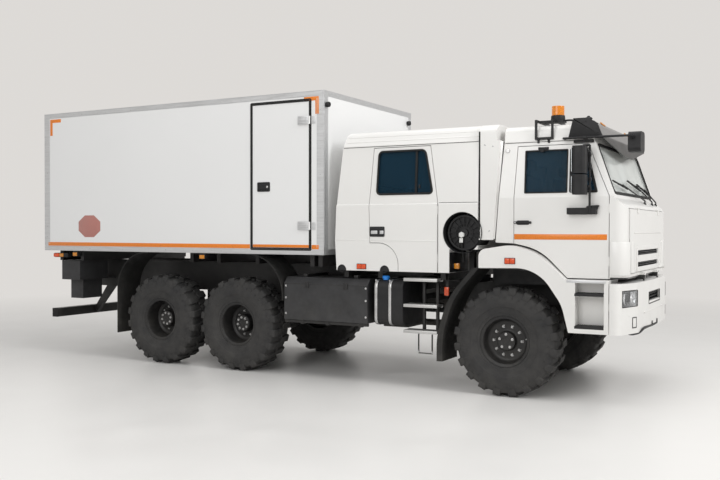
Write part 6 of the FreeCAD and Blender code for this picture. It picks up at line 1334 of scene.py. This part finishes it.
for sign, side in bothSides:
    body = "van_rear_door_" + side
    y = sign * 0.99
    steel = [addRod("lockRod", (-7.286, y, 1.624), (-7.286, y, 3.511), 0.0145, 18, 0.002)]
    for z in (1.66, 3.47):
        steel.append(addBox("lockCam", (-7.2995, -7.262), around(y, 0.034), around(z, 0.014), 0.004))
    for z in (1.885, 2.545, 3.205):
        steel.append(addBox("rodGuide", (-7.2998, -7.25), around(y, 0.02), around(z, 0.028), 0.004))
        foot = rectangle(around(y, 0.055), around(z, 0.03))
        steel.append(addPlate("guideFoot", atX(foot, -7.2515), 0.004, 0.008))
    handle = addTube("rodHandle", [(-7.287, y, 2.33), (-7.289, y - sign * 0.02, 2.33),
                                   (-7.288, y - sign * 0.1, 2.33), (-7.288, y - sign * 0.34, 2.33)], 0.0105)
    keeper = addBox("handleKeeper", (-7.299, -7.25), (sign * 0.655, sign * 0.715), (2.3, 2.36), 0.006)
    build(f"lockRod.{side}", steel + [handle, keeper], steelBright, body)
    seal = [addBox("rearSeal", (-7.2535, -7.247), (sign * 0.006, sign * 1.148), zs, 0.002)
            for zs in ((1.615, 1.6265), (3.5085, 3.52))]
    seal.append(addBox("rearSeal", (-7.2535, -7.247), (sign * 1.1385, sign * 1.1475), (1.62, 3.515), 0.002))
    seal.append(addBox("rearSeal", (-7.2545, -7.247), (sign * 0.0035, sign * 0.018), (1.624, 3.511), 0.003))
    build(f"rearSeal.{side}", seal, sealRubber, body)
    tape = addPlate("rearTape", atX(rectangle((0.03, 1.13), (1.632, 1.682)), -7.2512, sign), 0.0012,
                    edge=0.0004)
    mark = [(1.13, 3.28), (1.13, 3.5), (0.91, 3.5), (0.91, 3.45), (1.08, 3.45), (1.08, 3.28)]
    corner = addPlate("rearMark", atX(mark, -7.2512, sign), 0.0012, edge=0.0004)
    build(f"rearTape.{side}", [tape, corner], orangeTape, body)
    straps = []
    for low in (1.86, 2.52, 3.18):
        plate = addPlate("rearStrap", atX(rectangle((1.066, 1.138), (low - 0.002, low + 0.102)), -7.2655,
                                          sign), 0.003, 0.006)
        straps += [plate] + [addBolt("rearBolt", (-7.2668, sign * 1.1, low + z), 0.007, 0.006, toBack)
                             for z in (0.025, 0.075)]
    build(f"rearStraps.{side}", straps, aluminiumLong, body)

plateFrame = addBox("plateFrame", (-7.166, -7.154), (0.28, 0.82), (0.548, 0.668), 0.005)
dress(plateFrame, blackPlastic)
dress(addBox("plateBlank", (-7.1685, -7.165), (0.29, 0.81), (0.556, 0.66), 0.0012), plateWhite, "chassis",
      "white_paint")
ends = pairOf("barEnd", (-7.157, -7.043), (1.186, 1.1925), (0.542, 0.674))
build("barEnds", ends, sealRubber)
reflect = pairOf("barReflector", (-7.1585, -7.154), (0.93, 1.06), (0.59, 0.63), 0.002)
build("barReflectors", reflect, redLens)
print("tail dressed")

# Underneath: brake hoses and air lines.
hoses = []
for x, y in ((0.1, 0.6), (-3.62, 0.62), (-4.94, 0.62)):
    for sign in (-1, 1):
        hoses.append(addTube("brakeHose", [(x, sign * 0.4, 0.96), (x + 0.03, sign * 0.47, 0.9),
                                           (x + 0.05, sign * (y - 0.02), 0.8), (x + 0.02, sign * y, 0.72)],
                             0.01, 3))
for low, sag, high in ((1.1, 1.1, 1.11), (1.13, 1.132, 1.14)):
    hoses.append(addTube("airLine", [(-6.4, -0.35, low), (-5.0, -0.35, high), (-3.0, -0.352, sag),
                                     (-1.0, -0.35, high)], 0.009, 3))
build("brakeHoses", hoses, sealRubber)
print("underside dressed")

# Roof gutters with dark strips of painted shadow under them, pressed ribs, and round the fairing a white lip
# and a dark strip of painted shade in the gap.
def moduleRoof(z):
    return 1.15 - (z - 2.868) * 0.09 / 0.187


def cabRoof(z):
    return 1.095 - (z - 2.835) * 0.043 / 0.183


for body, surface, xs, z in (("chassis", moduleRoof, (-2.09, -0.33), 2.868),
                             ("cab", cabRoof, (-0.03, 0.96), 2.835)):
    y = surface(z)
    gutters = pairOf("gutter", xs, (y - 0.004, y + 0.007), (z, z + 0.012), 0.003)
    # dark strips of painted shadow under each gutter lip
    paintedShades = pairOf("gutterShade", xs, (y - 0.002, y + 0.0015), (z - 0.006, z), 0.0005, 1)
    if body == "chassis":  # two pressed ribs on each side of the crew module's roof
        ribs = [rectangle((-2.06, -0.335), (low, low + 0.01)) for low in (2.925, 2.985)]
        gutters += [addPlate("roofRib", onSide(moduleRoof, rib, 0, sign), 0.006, edge=0.002)
                    for sign in (-1, 1) for rib in ribs]
    build("roofGutters." + body, gutters, cabPaint, body)
    build("gutterShades." + body, paintedShades, sealRubber, body)
lips = []
for sign in (-1, 1):
    lip = flip([(-0.17, 1.16, 1.76), (-0.1335, 1.152, 1.76), (-0.0495, 1.112, 2.86), (-0.086, 1.16, 2.86)],
               sign)
    lips.append(addPlate("fairingLip", lip, 0.008, edge=0.001))
build("fairingLips", lips, cabPaint)
# dark strips of painted shade in the gap beside the fairing
gapShadeStrips = pairOf("fairingGap", (-0.3215, -0.303), (1.15, 1.1662), (1.765, 2.975), 0.001, 1)
build("fairingGaps", gapShadeStrips, sealRubber)
print("gutters and fairing strips made")

# Seats: padded cushions on plinths, simulated as pressed cloth.
seat = {"voxel": 0.013, "pressure": 4.0, "cap": 0.024, "frames": 20, "groove": 0.014, "depth": 0.007}


def makePad(name, xs, ys, zs, rounding, grooves=(), faces=(0, 0, 1), rest=None):
    # a crowned pad; grooves are sewn channels at given places across its face
    pad = addBox(name, xs, ys, zs, rounding, 4)
    modify(pad, "REMESH", mode="VOXEL", voxel_size=seat["voxel"])
    before = [vertex.co.copy() for vertex in pad.data.vertices]
    take(pad)
    cloth = pad.modifiers.new("Cloth", "CLOTH")
    cloth.settings.use_pressure = True
    cloth.settings.uniform_pressure_force = seat["pressure"]
    cloth.settings.effector_weights.gravity = 0
    cloth.point_cache.frame_start, cloth.point_cache.frame_end = 1, seat["frames"]
    for number in range(1, seat["frames"] + 1):
        bpy.context.scene.frame_set(number)
    bpy.ops.object.modifier_apply(modifier="Cloth")
    bpy.context.scene.frame_set(1)
    way = Vector(faces)
    for vertex, start in zip(pad.data.vertices, before):
        shift = vertex.co - start
        if shift.length > seat["cap"]:
            vertex.co = start + shift * (seat["cap"] / shift.length)
        if rest is not None:
            vertex.co.z = max(vertex.co.z, rest)
        for place in grooves:
            near = abs(vertex.co.y - place) / seat["groove"]
            if near < 1 and vertex.normal @ way > 0.3:
                vertex.co -= way * seat["depth"] * (1 - near * near)
    pad.data.update()
    return modify(pad, "SUBSURF", levels=1, render_levels=1)


def declare(pad, body, node):
    dress(pad, seatCloth, body, angle=60)
    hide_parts(node)


cushion = makePad("cabCushion", (0.098, 0.556), (-0.906, -0.454), (1.872, 1.978), 0.032, (-0.8, -0.56),
                  rest=1.852)
back = makePad("cabBack", (0.082, 0.19), (-0.902, -0.458), (2.02, 2.5), 0.032, (-0.8, -0.56),
               faces=(1, 0, 0))
head = makePad("cabHead", (0.088, 0.178), (-0.8, -0.56), (2.545, 2.668), 0.03)
for pad in (cushion, back, head):
    declare(mirrorOf(pad, pad.name + ".left"), "cab", "cab_seats")
    pad.name += ".right"
    declare(pad, "cab", "cab_seats")
benchSeat = makePad("benchSeat", (-2.035, -1.585), (-0.876, -0.324), (1.722, 1.828), 0.032, (-0.7, -0.5),
                    rest=1.702)
benchBack = makePad("benchBack", (-2.038, -1.935), (-0.876, -0.324), (1.872, 2.426), 0.032, (-0.7, -0.5),
                    faces=(1, 0, 0))
for pad in (benchSeat, benchBack):
    for number in (1, 2):
        declare(copyOf(pad, f"{pad.name}.{number}", (0, 0.6 * number, 0)), "chassis", "crew_seats")
    declare(pad, "chassis", "crew_seats")

for sign, side in bothSides:
    base = addBox("seatBase", (0.066, 0.574), (sign * 0.438, sign * 0.922), (1.3955, 1.76), 0.012)
    pan = addBox("seatPan", (0.066, 0.572), (sign * 0.44, sign * 0.92), (1.775, 1.856), 0.014)
    bellows = [addBox("seatFold", (0.085, 0.555), (sign * 0.455, sign * 0.905), (z, z + 0.01), 0.004)
               for z in (1.756, 1.768)]
    shell = addBox("seatShell", (0.0615, 0.086), (sign * 0.448, sign * 0.912), (1.9, 2.51), 0.01)
    stalks = [addRod("headStalk", (0.128, sign * y, 2.49), (0.132, sign * y, 2.57), 0.006)
              for y in (0.63, 0.73)]
    lever = addBox("seatLever", (0.18, 0.3), (sign * 0.92, sign * 0.9285), (1.8, 1.818), 0.004)
    frameSet = build(f"seatFrame.{side}", [base, pan, *bellows, shell, *stalks, lever], greyPlastic, "cab")
    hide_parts("cab_seats")
bench = [addBox("benchBase", (-2.055, -1.575), (-0.895, 0.895), (1.4155, 1.69), 0.01),
         addBox("benchPan", (-2.058, -1.562), (-0.899, 0.899), (1.68, 1.708), 0.008),
         addBox("benchShell", (-2.0595, -2.036), (-0.89, 0.89), (1.7, 2.44), 0.008)]
bench += [addBox("benchSeam", (-1.5765, -1.5735), (y, y + 0.008), (1.43, 1.675), 0.001, 1)
          for y in (-0.304, 0.296)]
benchFrame = build("benchFrame", bench, greyPlastic)
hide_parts("crew_seats")
print("seats made")

# Floor and a backdrop in one sweep, soft lamps, camera.
stage = {"floorTone": (0.79, 0.775, 0.75), "gloss": 0.34, "world": 0.6, "size": 60, "near": 6.5, "far": 15.0,
         "backdrop": (0.725, 0.703, 0.678)}


def makeStage():
    settle()
    bpy.ops.mesh.primitive_plane_add(size=stage["size"] * 2, location=(2, 0, 0))
    floor = bpy.context.object
    floor.name = "studioFloor"
    fixPlace(floor)
    made, shader, mapping = startFinish("studioFloorFinish")
    drift = rangeOf(noiseOf(mapping, 0.4, 3), 0.3, 0.7, 0, 1)
    tone = stage["floorTone"]
    link(blendOf(drift, tuple(c * 0.97 for c in tone), tone), shader, "Base Color")
    link(rangeOf(noiseOf(mapping, 1.3, 4), 0.3, 0.7, stage["gloss"] - 0.04,
                           stage["gloss"] + 0.06), shader, "Roughness")
    # far from the truck the floor takes the backdrop's tone, so no horizon shows
    apart = addNode(shader, "VectorMath")
    apart.operation = "LENGTH"
    link(mapping.outputs["Vector"], apart, 0)
    share = rangeOf(apart.outputs["Value"], stage["near"], stage["far"], 0, 1)
    glow = addNode(shader, "Emission")
    fill(glow, Color=(*stage["backdrop"], 1))
    mixShaders(share, shader.outputs["BSDF"], glow.outputs["Emission"], "Material Output")
    floor.data.materials.append(made)


makeStage()
world = bpy.data.worlds.new("studioWorld")
bpy.context.scene.world = world
world.use_nodes = True
sky = world.node_tree.nodes["Background"]
fill(sky, Color=(0.93, 0.94, 0.95, 1), Strength=stage["world"])
seen = addNode(sky, "Background")
fill(seen, Color=(*stage["backdrop"], 1), Strength=1.0)
path = addNode(sky, "LightPath")
either = mathOf("MAXIMUM", path.outputs["Is Camera Ray"], path.outputs["Is Glossy Ray"])
either = mathOf("MAXIMUM", either, path.outputs["Is Transmission Ray"])
mixShaders(either, sky.outputs["Background"], seen.outputs["Background"], "World Output")

studioLamps = {"over": ((2.5, -1.0, 9.0), 9.0, 260), "side": ((1.0, -12.0, 6.5), 8.0, 372),
               "nose": ((12.5, -2.5, 8.5), 6.0, 740)}
for name, (spot, size, power) in studioLamps.items():
    settle()
    bpy.ops.object.light_add(type="AREA", location=spot)
    lamp = bpy.context.object
    lamp.name = name + "Lamp"
    lamp.data.shape = "DISK"
    lamp.data.size = size
    lamp.data.energy = power
    lamp.rotation_euler = (Vector(spot) - Vector((0.5, 0, 1.5))).to_track_quat("Z", "Y").to_euler()

view = {"place": (6.1547, -10.3978, 1.8654), "yaw": 28.8041, "pitch": -0.6972, "roll": 0.0671, "lens": 43.18}
yaw, pitch = math.radians(view["yaw"]), math.radians(view["pitch"])
look = Vector((-math.sin(yaw) * math.cos(pitch), math.cos(yaw) * math.cos(pitch), math.sin(pitch)))
settle()
bpy.ops.object.camera_add(location=view["place"])
camera = bpy.context.object
camera.name = "photoCamera"
turned = look.to_track_quat("-Z", "Y").to_euler()
turned.rotate_axis("Z", math.radians(view["roll"]))
camera.rotation_euler = turned
camera.data.lens = view["lens"]
camera.data.sensor_width = 36
camera.data.dof.use_dof = False
bpy.context.scene.camera = camera
bpy.context.scene.view_settings.view_transform = "Standard"
print("stage, lamps and camera set")
